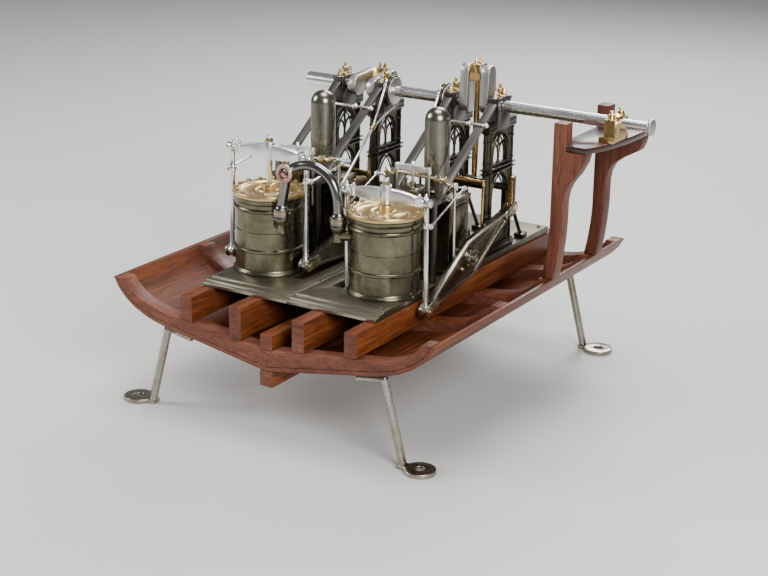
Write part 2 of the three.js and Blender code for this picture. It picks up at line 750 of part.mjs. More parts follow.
// Origin on the levers' rear pins, crank pin straight above.
function connectingRod() {
  const beamReach = sideLine - eyeHalf + 0.6;
  const [hubX, hubY, hubZ] = tailHub;
  const pieces = [box(-hubX, hubX, -hubY, hubY, tailRise - hubZ, tailRise + hubZ),
    pin(-beamReach, beamReach, 0, tailRise, tailRadius, 10)];
  for (const side of [-1, 1]) {
    const x = side * sideLine;
    pieces.push(box(x - eyeHalf, x + eyeHalf, -strapHalfDepth, strapHalfDepth, 0, strapTop),
      pin(x - eyeHalf, x + eyeHalf, 0, 0, eyeRadius, 12), pointedNut(x, 0, strapTop, strapNut, 5));
  }
  const middle = v3(0, 0, conRodLength / 2);
  const blockX = bigEndHalf - bigEndFlange;
  const blockFoot = conRodLength - bigEndHalfHeight;
  const blockTop = conRodLength + bigEndHalfHeight;
  pieces.push(rod(v3(0, 0, tailRise), middle, rodNeckRadius, rodBellyRadius, 8),
    rod(middle, v3(0, 0, blockFoot + 1), rodBellyRadius, rodNeckRadius, 8),
    box(-blockX, blockX, -bigEndHalfDepth, bigEndHalfDepth, blockFoot, blockTop),
    pin(-bigEndHalf, bigEndHalf, 0, conRodLength, bigEndEyeRadius, 12));
  for (const side of [-1, 1]) {
    pieces.push(pointedNut(0, side * bigEndNutSpread, blockTop, bigEndNut));
  }
  return join(...pieces);
}

// ---------- crosshead and side rods ----------

// Half an ellipse's outline, from one end to the other.
function belly(halfLength, halfDepth, way) {
  return Array.from({ length: 9 }, (_, i) => {
    const angle = Math.PI * i / 8;
    return [-way * halfLength * Math.cos(angle), way * halfDepth * Math.sin(angle)];
  });
}

// Origin on the crosshead's pins.
function crosshead() {
  const reach = sideLine + eyeHalf + fit;
  const beamEnd = sideLine - eyeHalf - 3 * fit;
  const shape = outline([...belly(beamEnd, crossheadDrop, -1), ...belly(beamEnd, crossheadRise, 1)]);
  const boss = turned([[0, -crossheadBossDrop], [crossheadBossRadius, -crossheadBossDrop],
    [crossheadBossRadius, crossheadNeckTop], [crossheadNutRadius, crossheadNeckTop],
    [crossheadNutRadius, crossheadNutTop - 1.5], [0, crossheadNutTop]], 0, 0, 0, 10);
  const cap = reach + crossheadCapLength;
  const pieces = [crossSection(shape, -crossheadHalf, crossheadHalf), boss,
    pin(-cap, cap, 0, 0, crossheadPinRadius, 8)];
  for (const side of [-1, 1]) {
    pieces.push(pin(...span(side, reach, cap), 0, 0, crossheadCollarRadius, 6),
      pin(...span(side, beamEnd - 3, sideLine - eyeHalf - fit), 0, 0, crossheadCollarRadius, 8));
  }
  const pistonBottom = -pistonDrop - pistonHeight / 2;
  const pistonRadius = cylinderBore - runningGap;
  pieces.push(post(0, 0, -pistonDrop, 0, pistonRodRadius, pistonRodRadius, 10),
    post(0, 0, pistonBottom, pistonBottom + pistonHeight, pistonRadius, pistonRadius, 16));
  return join(...pieces);
}

// Origin on the crosshead's pin, lower eye straight below.
function sideRod(outward) {
  const eye = pin(-eyeHalf, eyeHalf, 0, 0, eyeRadius, 12);
  const lowerEye = pin(-eyeHalf, eyeHalf, 0, -sideRodLength, eyeRadius, 12);
  const collarPin = span(outward, 0, barInner - fit - sideLine);
  const pieces = [eye, lowerEye, post(0, 0, -sideRodLength, -1, sideRodRadius, sideRodRadius, 8),
    pointedNut(0, 0, eyeRadius - 0.1, sideRodNut),
    post(0, 0, -collarDrop - collarHalf, -collarDrop + collarHalf, collarRadius, collarRadius, 10),
    pin(...collarPin, 0, -collarDrop, pinRadius, 6)];
  const end = eyeHalf + overrun;
  return cut(join(...pieces), pin(-end, end, 0, 0, crossheadPinRadius + runningGap, 8));
}

// ---------- parallel motion ----------

// Origin on the side rod's collar, link pin straight aft.
function parallelBar(outward) {
  const length = leverHalfLength - motionPinAlong;
  const ends = span(outward, barInner - sideLine, barOuter - sideLine);
  const stub = span(outward, motionRodOuter + fit - sideLine, barInner - sideLine);
  const nutEnds = span(outward, barOuter - sideLine, barOuter - sideLine + barNutHeight);
  const x = (ends[0] + ends[1]) / 2;
  const pieces = [rod(v3(x, 0, 0), v3(x, length, 0), barRadius, barRadius, 6),
    pin(...stub, length, 0, pinRadius, 6)];
  for (const y of [0, length]) {
    pieces.push(pin(...ends, y, 0, linkEyeRadius, 10), pin(...nutEnds, y, 0, barNutRadius, 6));
  }
  return join(...pieces);
}

// Origin on the lever's motion pin, link pin straight above.
function motionRod(outward) {
  const length = sideRodLength - collarDrop;
  const mid = (motionRodInner + motionRodOuter) / 2 * outward;
  const ends = span(outward, motionRodInner, motionRodOuter);
  const stub = span(outward, radiusArmOuter + fit, motionRodInner);
  return join(rod(v3(mid, 0, 0), v3(mid, 0, length), linkRodRadius, linkRodRadius, 6),
    pin(...ends, 0, 0, linkEyeRadius, 10), pin(...ends, 0, length, linkEyeRadius, 10),
    pin(...stub, 0, length, pinRadius, 6));
}

// Origin on its own axis.
function radiusShaft(state) {
  const arm = [state.linkY - radiusShaftY, state.linkZ - radiusShaftZ];
  const pieces = [pin(-radiusArmOuter, radiusArmOuter, 0, 0, radiusShaftRadius, 8)];
  for (const side of [-1, 1]) {
    const ends = span(side, radiusArmInner, radiusArmOuter);
    pieces.push(sidePlate(strapOutline([0, 0], radiusHubRadius, arm, linkEyeRadius), ...ends, 4));
    const collar = span(side, frameX + stayBearingHalf + fit, radiusArmInner);
    pieces.push(pin(...collar, 0, 0, radiusCollarRadius, 8));
  }
  return join(...pieces);
}

// ---------- valve gear ----------

function valveChest(parent, prefix) {
  const rear = chestFrontY + chestDepth;
  const lidZ = seatZ + chestHeight;
  const over = chestLidOverhang;
  const body = box(-chestHalfWidth, chestHalfWidth, chestFrontY, rear, seatZ, lidZ);
  const lid = box(-chestHalfWidth - over, chestHalfWidth + over, chestFrontY, rear + over, lidZ,
    lidZ + chestLidHeight);
  const foot = box(-chestHalfWidth - over, chestHalfWidth + over, chestFrontY, rear + over, seatZ,
    seatZ + chestLidHeight);
  const glandTop = lidZ + chestLidHeight + valveGlandHeight;
  const gland = turned([[0, -1], [valveGlandFoot, -1], [valveGlandFoot, 1], [valveGlandRadius, 1.4],
    [valveGlandRadius, valveGlandHeight], [0, valveGlandHeight]], 0, spindleY,
  glandTop - valveGlandHeight, 10);
  const boreRadius = spindleRadius + runningGap;
  const bore = post(0, spindleY, glandTop - spindleBoreDepth, glandTop + overrun, boreRadius,
    boreRadius, 8);
  part(parent, `${prefix}_valve_chest`, cut(join(body, lid, foot, gland), bore), gunmetal);
}

// Origin on the middle of the beam.
function valveCrosshead() {
  const end = valveRodSpread + valveBeamEndDepth;
  const knee = valveBossRadius + valveBeamHalf;
  const shape = outline([[-end, -valveBeamEndDepth], [-knee, -valveBeamDepth], [knee, -valveBeamDepth],
    [end, -valveBeamEndDepth], [end, valveBeamEndDepth], [knee, valveBeamDepth],
    [-knee, valveBeamDepth], [-end, valveBeamEndDepth]]);
  const pieces = [crossSection(shape, -valveBeamHalf, valveBeamHalf),
    post(0, 0, -3.4, 5.6, valveBossRadius, valveBossRadius / 2, 8),
    post(0, 0, -spindleLength, 0, spindleRadius, spindleRadius, 6)];
  for (const side of [-1, 1]) {
    const x = side * valveRodSpread;
    pieces.push(post(x, 0, -valveBeamDepth, valveBeamDepth, valveEyeRadius, valveEyeRadius, 8),
      post(x, 0, -valveRodLength, 0, valveRodRadius, valveRodRadius, 6));
  }
  return join(...pieces);
}

// Origin on its lower pin, the sheave's centre at rest along +Y.
function eccentricRod(length) {
  const ring = new THREE.Shape().absarc(length, 0, strapOuter, 0, 2 * Math.PI);
  ring.holes.push(new THREE.Path().absarc(length, 0, strapInner, 0, 2 * Math.PI));
  const strap = sidePlate(ring, -strapHalf, strapHalf, 10);
  const fork = v3(0, eccentricJointAlong, 0);
  const prongEnd = length - strapLugBack;
  const lug = strapOuter - 0.4;
  const pieces = [strap, pin(-gabHalf, gabHalf, 0, 0, gabRadius, 10),
    rod(v3(0, 0, 0), fork, prongRadius, prongRadius + 0.2, 6),
    pin(-gabHalf, gabHalf, eccentricJointAlong, 0, eccentricJointRadius, 8)];
  for (const side of [-1, 1]) {
    const lugEnd = v3(0, length - 0.1, side * (lug + 1.4));
    const lugRoot = v3(0, prongEnd - strapLugRadius, side * (lug + 0.4));
    pieces.push(rod(fork, v3(0, prongEnd, side * lug), prongRadius, prongRadius, 6),
      rod(lugEnd, lugRoot, strapLugRadius, strapLugRadius, 6));
  }
  return join(...pieces);
}

// ---------- frames, stays, condenser ----------

// A pointed arch opening between the columns, from its foot up to its crown.
function archedOpening(halfWidth, footZ, crownZ) {
  const springZ = crownZ - springing;
  const centre = (springing ** 2 - halfWidth ** 2) / (2 * halfWidth);
  const radius = halfWidth + centre;
  const sweep = Math.asin(springing / radius);
  const path = new THREE.Path();
  path.moveTo(shaftY - halfWidth, footZ);
  path.lineTo(shaftY + halfWidth, footZ);
  path.lineTo(shaftY + halfWidth, springZ);
  path.absarc(shaftY - centre, springZ, radius, 0, sweep);
  path.absarc(shaftY + centre, springZ, radius, Math.PI - sweep, Math.PI);
  path.lineTo(shaftY - halfWidth, footZ);
  return path;
}

function frame(parent, name, x) {
  const half = frameThickness / 2;
  const panelHalf = framePanelThickness / 2;
  const openHalf = columnSpread - columnRadius - archMargin;
  const panel = outline([[shaftY - columnSpread, seatZ], [shaftY + columnSpread, seatZ],
    [shaftY + columnSpread, entablatureZ + 1], [shaftY - columnSpread, entablatureZ + 1]]);
  panel.holes.push(archedOpening(openHalf, lowerPanelTop, midRailBottom));
  panel.holes.push(archedOpening(openHalf, midRailTop, entablatureZ - 1));
  const bearingX = [x - bearingHalfWidth, x + bearingHalfWidth];
  const across = (reach, bottom, top) => (
    box(x - half, x + half, shaftY - reach, shaftY + reach, bottom, top));
  const pieces = [sidePlate(panel, x - panelHalf, x + panelHalf, 4),
    across(frameHalfDepth + frameFootSpread, seatZ, seatZ + frameFootHeight),
    across(frameHalfDepth, entablatureZ, entablatureZ + entablatureHeight),
    box(...bearingX, shaftY - bearingHalfDepth, shaftY + bearingHalfDepth, entablatureZ + 1,
      bearingTopZ),
    post(x, shaftY, bearingTopZ - 1, bearingTopZ + lubricatorHeight, lubricatorRadius,
      lubricatorTopRadius, 6)];
  for (const way of [-1, 1]) {
    const y = shaftY + way * columnSpread;
    pieces.push(post(x, y, seatZ + 2, entablatureZ + 2, columnRadius, columnRadius, 8),
      pointedNut(x, shaftY + way * bearingNutSpread, bearingTopZ, bearingNut));
  }
  const strutTop = v3(x, shaftY + columnSpread, strutTopZ);
  pieces.push(rod(strutTop, v3(x, strutFootY, seatZ + 2), strutRadius, strutRadius, 6),
    box(x - half, x + half, strutFootY - strutFootHalf, strutFootY + strutFootHalf, seatZ,
      seatZ + strutFootHeight));
  const bore = pin(x - frameThickness, x + frameThickness, shaftY, shaftZ, shaftRadius + runningGap, 16);
  part(parent, name, cut(join(...pieces), bore), gunmetal);
}

function stays(parent, prefix) {
  const rise = Math.tan(staySlope);
  const lineZ = y => stayFootZ + (y - stayFootY) * rise;
  const topY = shaftY - bearingHalfDepth - stayTopGap;
  const tilt = stayThickness / 2 / Math.cos(staySlope);
  const strip = outline([[stayFootY, lineZ(stayFootY) - tilt], [topY, lineZ(topY) - tilt],
    [topY, lineZ(topY) + tilt], [stayFootY, lineZ(stayFootY) + tilt]]);
  const pieces = [];
  const half = stayWidth / 2;
  const [footFront, footRear, footHalf] = stayFootPlate;
  for (const side of [-1, 1]) {
    const x = side * frameX;
    pieces.push(sidePlate(strip, x - half, x + half),
      box(x - half, x + half, stayFootY - footFront, stayFootY + footRear, stayFootZ - footHalf,
        stayFootZ + footHalf),
      post(x, stayFootY - footRear, seatZ, stayFootZ, stayColumnRadius, stayColumnRadius, 8),
      box(x - stayPedestalHalf, x + stayPedestalHalf, radiusShaftY - 3, radiusShaftY + 3,
        lineZ(radiusShaftY) - 0.5, radiusShaftZ),
      pin(x - stayBearingHalf, x + stayBearingHalf, radiusShaftY, radiusShaftZ, stayBearingRadius, 10));
  }
  const rodZ = lineZ(crossRodY) + tilt + crossRodRadius - 0.5;
  const rodEnd = frameX + half + crossRodOverhang;
  pieces.push(pin(-rodEnd, rodEnd, crossRodY, rodZ, crossRodRadius, 8));
  const bore = radiusShaftRadius + runningGap;
  const bored = cut(join(...pieces), pin(-rodEnd, rodEnd, radiusShaftY, radiusShaftZ, bore, 10));
  part(parent, `${prefix}_diagonal_stays`, bored, greySteel);
}

// Closed bottle with a flanged foot and a domed top.
function airVessel() {
  const r = vesselRadius;
  const domeZ = vesselTopZ - vesselCap - r;
  const dome = Array.from({ length: 4 }, (_, i) => {
    const angle = i * Math.PI / 8;
    return [r * Math.cos(angle), domeZ + r * 0.95 * Math.sin(angle)];
  });
  const neck = [[r + 1.5, -1], [r + 1.5, 2.5], [r - 1, 4], [r - 1, 12], [r, 16]];
  const foot = neck.map(([radius, rise]) => [radius, condenserTopZ + rise]);
  const profile = [[0, condenserTopZ - 1], ...foot, ...dome, [0, vesselTopZ]];
  return turned(profile, 0, vesselY, 0, 16);
}

function airPumpBarrel() {
  const top = pumpBarrelTopZ - seatZ;
  const lip = pumpBarrelRadius + pumpLip;
  const bore = pumpRodRadius + runningGap;
  const profile = [[0, 0], [pumpBarrelRadius, 0], [pumpBarrelRadius, top - 2], [lip, top - 2],
    [lip, top], [pumpGlandRadius, top], [pumpGlandRadius, top + 3], [bore, top + 3], [bore, 8], [0, 8]];
  return turned(profile, 0, pumpY, seatZ, 12);
}

function condenser(parent, prefix, inward) {
  const w = condenserHalfWidth;
  const [front, rear] = [condenserFrontY, condenserRearY];
  const lip = condenserFlange;
  const gudgeonReach = sideLine - leverBossHalf - fit;
  const pieces = [box(-w + lip, w - lip, front + lip, rear - lip, seatZ, condenserTopZ),
    box(-w, w, front, rear, seatZ, seatZ + condenserFootHeight),
    box(-w, w, front, rear, condenserTopZ - condenserLidHeight, condenserTopZ),
    box(-w, w, front + 8, rear - 6, ...condenserDoor),
    pin(-gudgeonReach, gudgeonReach, mainY, mainZ, gudgeonRadius, 10),
    pin(-w - gudgeonBossProud, w + gudgeonBossProud, mainY, mainZ, gudgeonBossRadius, 14)];
  const gabPin = span(inward, w - lip - 1, engineX - sheaveX - gabHalf - fit);
  pieces.push(airVessel(), airPumpBarrel(),
    box(-ductHalfWidth, ductHalfWidth, rear - 4, pumpY - 5, seatZ, seatZ + ductHeight),
    pin(...gabPin, eccentricPinY, eccentricPinZ, gabPinRadius, 8));
  part(parent, `${prefix}_condenser`, join(...pieces), gunmetal);
}

// Origin at the middle of the beam, level with the levers' pump pins.
function airPumpCrosshead() {
  const top = pumpCrossheadRise;
  const half = pumpBeamHalf;
  const knee = pumpBossRadius + 2;
  const shape = outline([[-pumpSideLine, top - half], [-knee, top - 2 * half], [knee, top - 2 * half],
    [pumpSideLine, top - half], [pumpSideLine, top + half], [knee, top + 2 * half],
    [-knee, top + 2 * half], [-pumpSideLine, top + half]]);
  const pieces = [crossSection(shape, -half, half), post(0, 0, top - 4, top + 4, pumpBossRadius,
    pumpBossRadius, 8), post(0, 0, -8, top, pumpRodRadius, pumpRodRadius, 6)];
  for (const side of [-1, 1]) {
    const x = side * pumpSideLine;
    pieces.push(post(x, 0, 0, top, pumpSideRodRadius, pumpSideRodRadius, 6),
      post(x, 0, top - 2.6, top + 3, pumpEyeRadius, pumpEyeRadius, 8),
      pin(x - pumpLinkHalf, x + pumpLinkHalf, 0, 0, linkEyeRadius, 8));
  }
  return join(...pieces);
}

// ---------- paddle shaft ----------

// The crank's two cheeks are alike; this is one, in the shaft's own frame.
function web(x, turn) {
  const tip = [-crankRadius * Math.sin(turn), crankRadius * Math.cos(turn)];
  return sidePlate(strapOutline([0, 0], webShaftRadius, tip, webPinRadius), x - webHalf, x + webHalf, 7);
}

function sheave(x) {
  const y = eccentricity * Math.cos(eccentricAngle);
  const z = eccentricity * Math.sin(eccentricAngle);
  const outer = strapHalf + fit + sheaveCheek;
  return join(pin(x - outer, x + outer, y, z, sheaveRadius, 18),
    pin(x - outer, x - strapHalf - fit, y, z, sheaveCheekRadius, 18),
    pin(x + strapHalf + fit, x + outer, y, z, sheaveCheekRadius, 18));
}

function paddleShaft(turns) {
  const [leftTurn, rightTurn] = turns;
  const at = [0, shaftY, shaftZ];
  const webOut = webCentre + webHalf;
  const left = join(pin(stubStartX, stubEndX, 0, 0, stubRadius, 20),
    pin(stubEndX - 1, -engineX - webCentre, 0, 0, shaftRadius, 16),
    web(-engineX - webCentre, leftTurn));
  const middle = join(pin(-engineX + webOut - 1, engineX - webOut + 1, 0, 0, shaftRadius, 16),
    web(-engineX + webCentre, leftTurn), web(engineX - webCentre, rightTurn),
    sheave(-sheaveX), sheave(sheaveX));
  const right = join(pin(engineX + webCentre, outerJournalX, 0, 0, shaftRadius, 16),
    pin(outerJournalX - 1, shaftEndX, 0, 0, outerJournalRadius, 16),
    pin(shaftEndX - endFlangeThickness, shaftEndX, 0, 0, endFlangeRadius, 20),
    web(engineX + webCentre, rightTurn));
  part(model, 'left_paddle_shaft', left, brightSteel, at);
  part(model, 'middle_paddle_shaft', middle, brightSteel, at);
  part(model, 'right_paddle_shaft', right, brightSteel, at);
}

// ---------- outer bracket ----------

function bracketPost(name, y, reach) {
  const armZ = shelfTopZ - shelfThickness - fit;
  const shape = new THREE.Shape();
  shape.moveTo(postFootX, gunwaleZ + fit);
  shape.lineTo(postFootX + postWidth, gunwaleZ + fit);
  shape.quadraticCurveTo(postX + postWidth - 0.5, gunwaleZ + 26, postX + postWidth, gunwaleZ + 50);
  shape.lineTo(postX + postWidth, armZ - 42);
  shape.bezierCurveTo(postX + postWidth + 1, armZ - 25, postX + postWidth + 10, armZ - 22,
    reach - 4, armZ - 12);
  shape.quadraticCurveTo(reach - 0.5, armZ - 6, reach, armZ);
  shape.lineTo(postX + postWidth, armZ);
  shape.lineTo(postX + postWidth, hornTopZ);
  shape.lineTo(postX, hornTopZ);
  shape.lineTo(postX, gunwaleZ + 44);
  shape.quadraticCurveTo(postX - 0.5, gunwaleZ + 24, postFootX, gunwaleZ + fit);
  part(model, name, crossSection(shape, y, y + postDepth, 5), mahogany);
}

function bracket() {
  bracketPost('bracket_front_post', frontPostY, frontArmReach);
  bracketPost('bracket_rear_post', rearPostY, rearArmReach);
  const horn = postX + postWidth + fit;
  const inboard = postX + 3;
  const shape = new THREE.Shape();
  shape.moveTo(horn, frontPostY);
  shape.lineTo(frontArmReach - 0.5, frontPostY);
  shape.bezierCurveTo(frontArmReach + 8, frontPostY + 18, rearArmReach - 1, frontPostY + 45,
    rearArmReach, rearPostY);
  shape.lineTo(rearArmReach, rearPostY + postDepth);
  shape.lineTo(horn, rearPostY + postDepth);
  shape.lineTo(horn, rearPostY - fit);
  shape.lineTo(inboard, rearPostY - fit);
  shape.lineTo(inboard, frontPostY + postDepth + fit);
  shape.lineTo(horn, frontPostY + postDepth + fit);
  part(model, 'bracket_shelf', levelPlate(shape, shelfTopZ - shelfThickness, shelfTopZ, 10), mahogany);

  outerBearing();
}

function outerBearing() {
  const x = outerBearingX;
  const half = outerBearingHalf;
  const baseZ = shelfTopZ + fit;
  const pieces = [box(x - half - 3, x + half, shaftY - outerBaseHalfDepth, shaftY + outerBaseHalfDepth,
    baseZ, baseZ + outerBearingBase),
  box(x - half, x + half, shaftY - outerBlockHalfDepth, shaftY + outerBlockHalfDepth, baseZ + 2,
    shaftZ + outerBlockRise)];
  for (const way of [-1, 1]) {
    const y = shaftY + way * outerLugSpread;
    const lugZ = shaftZ + outerLugRise;
    pieces.push(box(x - half, x + half, y - outerLugHalf, y + outerLugHalf, baseZ + 2, lugZ),
      post(x, y, lugZ - 1, lugZ + 4.4, outerNutRadius, outerNutRadius, 8),
      post(x, y, lugZ + 4, lugZ + 7.2, outerStudRadius, outerStudRadius, 6));
  }
  const bore = pin(x - 2 * half, x + 2 * half, shaftY, shaftZ, outerJournalRadius + runningGap, 16);
  part(model, 'outer_bearing', cut(join(...pieces), bore), brass);
}

// ---------- one engine ----------

function engine(prefix, centreX, crankTurn, seat) {
  const group = new THREE.Group();
  group.position.x = centreX;
  model.add(group);
  const state = linkage(crankTurn);
  const outward = Math.sign(centreX);
  const inward = -outward;
  const sides = [['inner', inward], ['outer', outward]];

  cylinder(group, prefix, [seat[0] - centreX, seat[1]]);
  valveChest(group, prefix);
  condenser(group, prefix, inward);
  stays(group, prefix);
  for (const [label, side] of sides) {
    frame(group, `${prefix}_${label}_frame`, side * frameX);
    part(group, `${prefix}_${label}_lever`, leverBody(), gunmetal, [side * sideLine, mainY, mainZ],
      state.lever);
    part(group, `${prefix}_${label}_side_rod`, sideRod(side), brightSteel,
      [side * sideLine, cylinderY, state.crossheadZ], state.sideRod);
  }
  part(group, `${prefix}_connecting_rod`, connectingRod(), darkBronze, [0, state.tailY, state.tailZ],
    state.conRod);
  part(group, `${prefix}_crosshead`, crosshead(), brightSteel, [0, cylinderY, state.crossheadZ]);
  part(group, `${prefix}_radius_shaft`, radiusShaft(state), brass, [0, radiusShaftY, radiusShaftZ]);
  part(group, `${prefix}_parallel_bar`, parallelBar(outward), brightSteel,
    [outward * sideLine, state.collarY, state.collarZ], state.lever);
  part(group, `${prefix}_motion_rod`, motionRod(outward), brightSteel, [0, state.motionY, state.motionZ],
    state.sideRod);
  part(group, `${prefix}_valve_crosshead`, valveCrosshead(), brightSteel, [0, spindleY, valveCrossheadZ]);
  part(group, `${prefix}_air_pump_crosshead`, airPumpCrosshead(), brass, [0, pumpY, state.pumpZ]);

  const sheaveY = shaftY + eccentricity * Math.cos(eccentricAngle) - eccentricPinY;
  const sheaveZ = shaftZ + eccentricity * Math.sin(eccentricAngle) - eccentricPinZ;
  part(group, `${prefix}_eccentric_rod`, eccentricRod(Math.hypot(sheaveY, sheaveZ)), brightSteel,
    [outward * sheaveX - centreX, eccentricPinY, eccentricPinZ], Math.atan2(sheaveZ, sheaveY));
}

const rightCrank = 0; // straight up
const leftCrank = THREE.MathUtils.degToRad(-80); // pointing aft, a little raised

hull();
legs();
bedplates();
engine('left', -engineX, leftCrank, leftPipeSeat);
engine('right', engineX, rightCrank, rightPipeSeat);
steamPipe();
paddleShaft([leftCrank, rightCrank]);
bracket();

// the origin stands under the middle of the whole model
const bounds = new THREE.Box3().setFromObject(model);
const middle = bounds.getCenter(v3());
model.position.set(-middle.x, -middle.y, -bounds.min.z);

export default model;
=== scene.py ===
import json
import math
import bpy
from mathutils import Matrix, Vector


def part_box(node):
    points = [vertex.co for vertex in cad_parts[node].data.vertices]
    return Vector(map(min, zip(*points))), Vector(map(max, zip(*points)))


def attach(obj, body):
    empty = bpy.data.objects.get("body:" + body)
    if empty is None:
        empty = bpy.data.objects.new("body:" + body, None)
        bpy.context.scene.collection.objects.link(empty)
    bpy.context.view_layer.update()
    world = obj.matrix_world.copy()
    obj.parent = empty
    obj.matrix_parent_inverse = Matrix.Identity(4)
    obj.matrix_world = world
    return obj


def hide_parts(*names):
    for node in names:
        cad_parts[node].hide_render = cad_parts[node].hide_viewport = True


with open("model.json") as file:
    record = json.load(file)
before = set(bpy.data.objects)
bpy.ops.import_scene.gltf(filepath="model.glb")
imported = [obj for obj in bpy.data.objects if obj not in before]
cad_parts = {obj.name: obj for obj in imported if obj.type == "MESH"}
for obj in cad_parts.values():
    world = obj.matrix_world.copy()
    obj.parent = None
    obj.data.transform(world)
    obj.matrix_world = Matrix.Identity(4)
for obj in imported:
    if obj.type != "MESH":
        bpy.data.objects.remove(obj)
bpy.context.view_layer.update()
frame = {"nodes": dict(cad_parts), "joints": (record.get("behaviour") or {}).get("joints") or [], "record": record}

unit = 1000  # pieces are laid out in millimetres and brought to metres as they are finished
joints = {joint["name"]: joint for joint in frame["joints"]}
bodyOf = {}
for bodyName, members in frame["record"]["behaviour"]["bodies"].items():
    for member in members:
        bodyOf[member] = bodyName


# Places taken from the frame, in millimetres.

def low(node):
    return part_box(node)[0] * unit


def high(node):
    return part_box(node)[1] * unit


def middle(node):
    return (low(node) + high(node)) / 2


def pivot(jointName):
    return Vector(joints[jointName]["pos_m"]) * unit


# Shaders.

class Wire:  # a shader value: a sum or product written with it adds its own nodes
    def __init__(self, paint, socket):
        self.paint = paint
        self.socket = socket

    def reckon(self, operation, first, second):
        return self.paint.add("ShaderNodeMath", {"operation": operation}, {0: first, 1: second})

    def __add__(self, other):
        return self.reckon("ADD", self, other)

    def __radd__(self, other):
        return self.reckon("ADD", other, self)

    def __sub__(self, other):
        return self.reckon("SUBTRACT", self, other)

    def __rsub__(self, other):
        return self.reckon("SUBTRACT", other, self)

    def __mul__(self, other):
        return self.reckon("MULTIPLY", self, other)

    def __rmul__(self, other):
        return self.reckon("MULTIPLY", other, self)


class Paint:
    def __init__(self, name, settings):
        self.material = bpy.data.materials.new(name)
        self.material.use_nodes = True
        self.tree = self.material.node_tree
        self.surface = self.tree.nodes["Principled BSDF"]
        for key, value in settings.items():
            self.surface.inputs[key].default_value = value
        self.place = self.add("ShaderNodeTexCoord", {}, {}, "Object")

    def add(self, kind, settings, values, output=0):
        node = self.tree.nodes.new(kind)
        for key, value in settings.items():
            if key == "stops":
                for extra in range(len(value) - 2):
                    node.color_ramp.elements.new(0.5)
                for element, (position, colour) in zip(node.color_ramp.elements, value):
                    element.position = position
                    element.color = (*colour, 1)
            else:
                setattr(node, key, value)
        for key, value in values.items():
            if isinstance(value, Wire):
                self.tree.links.new(value.socket, node.inputs[key])
            else:
                node.inputs[key].default_value = value
        return Wire(self, node.outputs[output])

    def noise(self, scale, stretch=(1, 1, 1), detail=4, roughness=0.55, distortion=0):
        spot = self.add("ShaderNodeMapping", {}, {"Vector": self.place, "Scale": stretch})
        return self.add("ShaderNodeTexNoise", {}, {"Vector": spot, "Scale": scale, "Detail": detail,
                                                   "Roughness": roughness, "Distortion": distortion})

    def ramp(self, factor, stops):
        return self.add("ShaderNodeValToRGB", {"stops": stops}, {0: factor})

    def blend(self, factor, first, second):
        return self.add("ShaderNodeMix", {"data_type": "RGBA"}, {0: factor, 6: first, 7: second}, 2)

    def spread(self, factor, start, end, toLow, toHigh):
        return self.add("ShaderNodeMapRange", {}, {"Value": factor, "From Min": start, "From Max": end,
                                                   "To Min": toLow, "To Max": toHigh})

    def feed(self, socketName, wire):
        self.tree.links.new(wire.socket, self.surface.inputs[socketName])

    def bump(self, height, strength, distance):
        self.feed("Normal", self.add("ShaderNodeBump", {}, {"Height": height, "Strength": strength,
                                                            "Distance": distance}))


finishes = {}

woods = {  # dark, middle and pale tone, the grain's stretch, and how glossy the polish is
    "mahogany": {"tones": ((0.024, 0.006, 0.002), (0.110, 0.026, 0.006), (0.240, 0.070, 0.015)),
                 "stretch": (1, 0.05, 1), "roughness": (0.42, 0.58), "coat": 0.04},
    "mahogany_upright": {"tones": ((0.038, 0.011, 0.006), (0.105, 0.031, 0.016), (0.195, 0.068, 0.038)),
                         "stretch": (1, 1, 0.06), "roughness": (0.42, 0.58), "coat": 0.04},
    "mahogany_end_grain": {"tones": ((0.058, 0.017, 0.010), (0.140, 0.043, 0.023), (0.240, 0.088, 0.052)),
                           "stretch": (0.35, 1, 1), "roughness": (0.50, 0.66), "coat": 0.02},
    "mahogany_shelf": {"tones": ((0.034, 0.015, 0.011), (0.100, 0.050, 0.040), (0.200, 0.115, 0.096)),
                       "stretch": (1, 0.07, 1), "roughness": (0.30, 0.44), "coat": 0.15},
    "shelf_edge": {"tones": ((0.010, 0.004, 0.003), (0.030, 0.010, 0.006), (0.060, 0.022, 0.013)),
                   "stretch": (1, 0.1, 1), "roughness": (0.12, 0.24), "coat": 0.7},
}


def woodFinish(name, look):
    paint = Paint(name, {"Specular IOR Level": 0.3, "Coat Weight": look["coat"], "Coat Roughness": 0.18})
    cloud = paint.noise(26, look["stretch"], 3, 0.5, 0.4)
    streak = paint.noise(210, look["stretch"], 6, 0.62, 0.9)
    pore = paint.noise(1300, look["stretch"], 3, 0.6)
    dark, mid, pale = look["tones"]
    figure = cloud * 0.5 + streak * 0.62 - 0.06
    colour = paint.ramp(figure, [(0.30, dark), (0.50, mid), (0.72, pale)])
    poreMask = paint.spread(pore, 0.38, 0.47, 0.55, 0)
    colour = paint.blend(poreMask, colour, (*[tone * 0.35 for tone in dark], 1))
    paint.feed("Base Color", colour)
    smooth, rough = look["roughness"]
    paint.feed("Roughness", paint.spread(streak + poreMask * 0.4, 0.3, 0.8, smooth, rough))
    paint.bump(streak * 0.5 - poreMask, 0.25, 0.00012)
    finishes[name] = paint.material


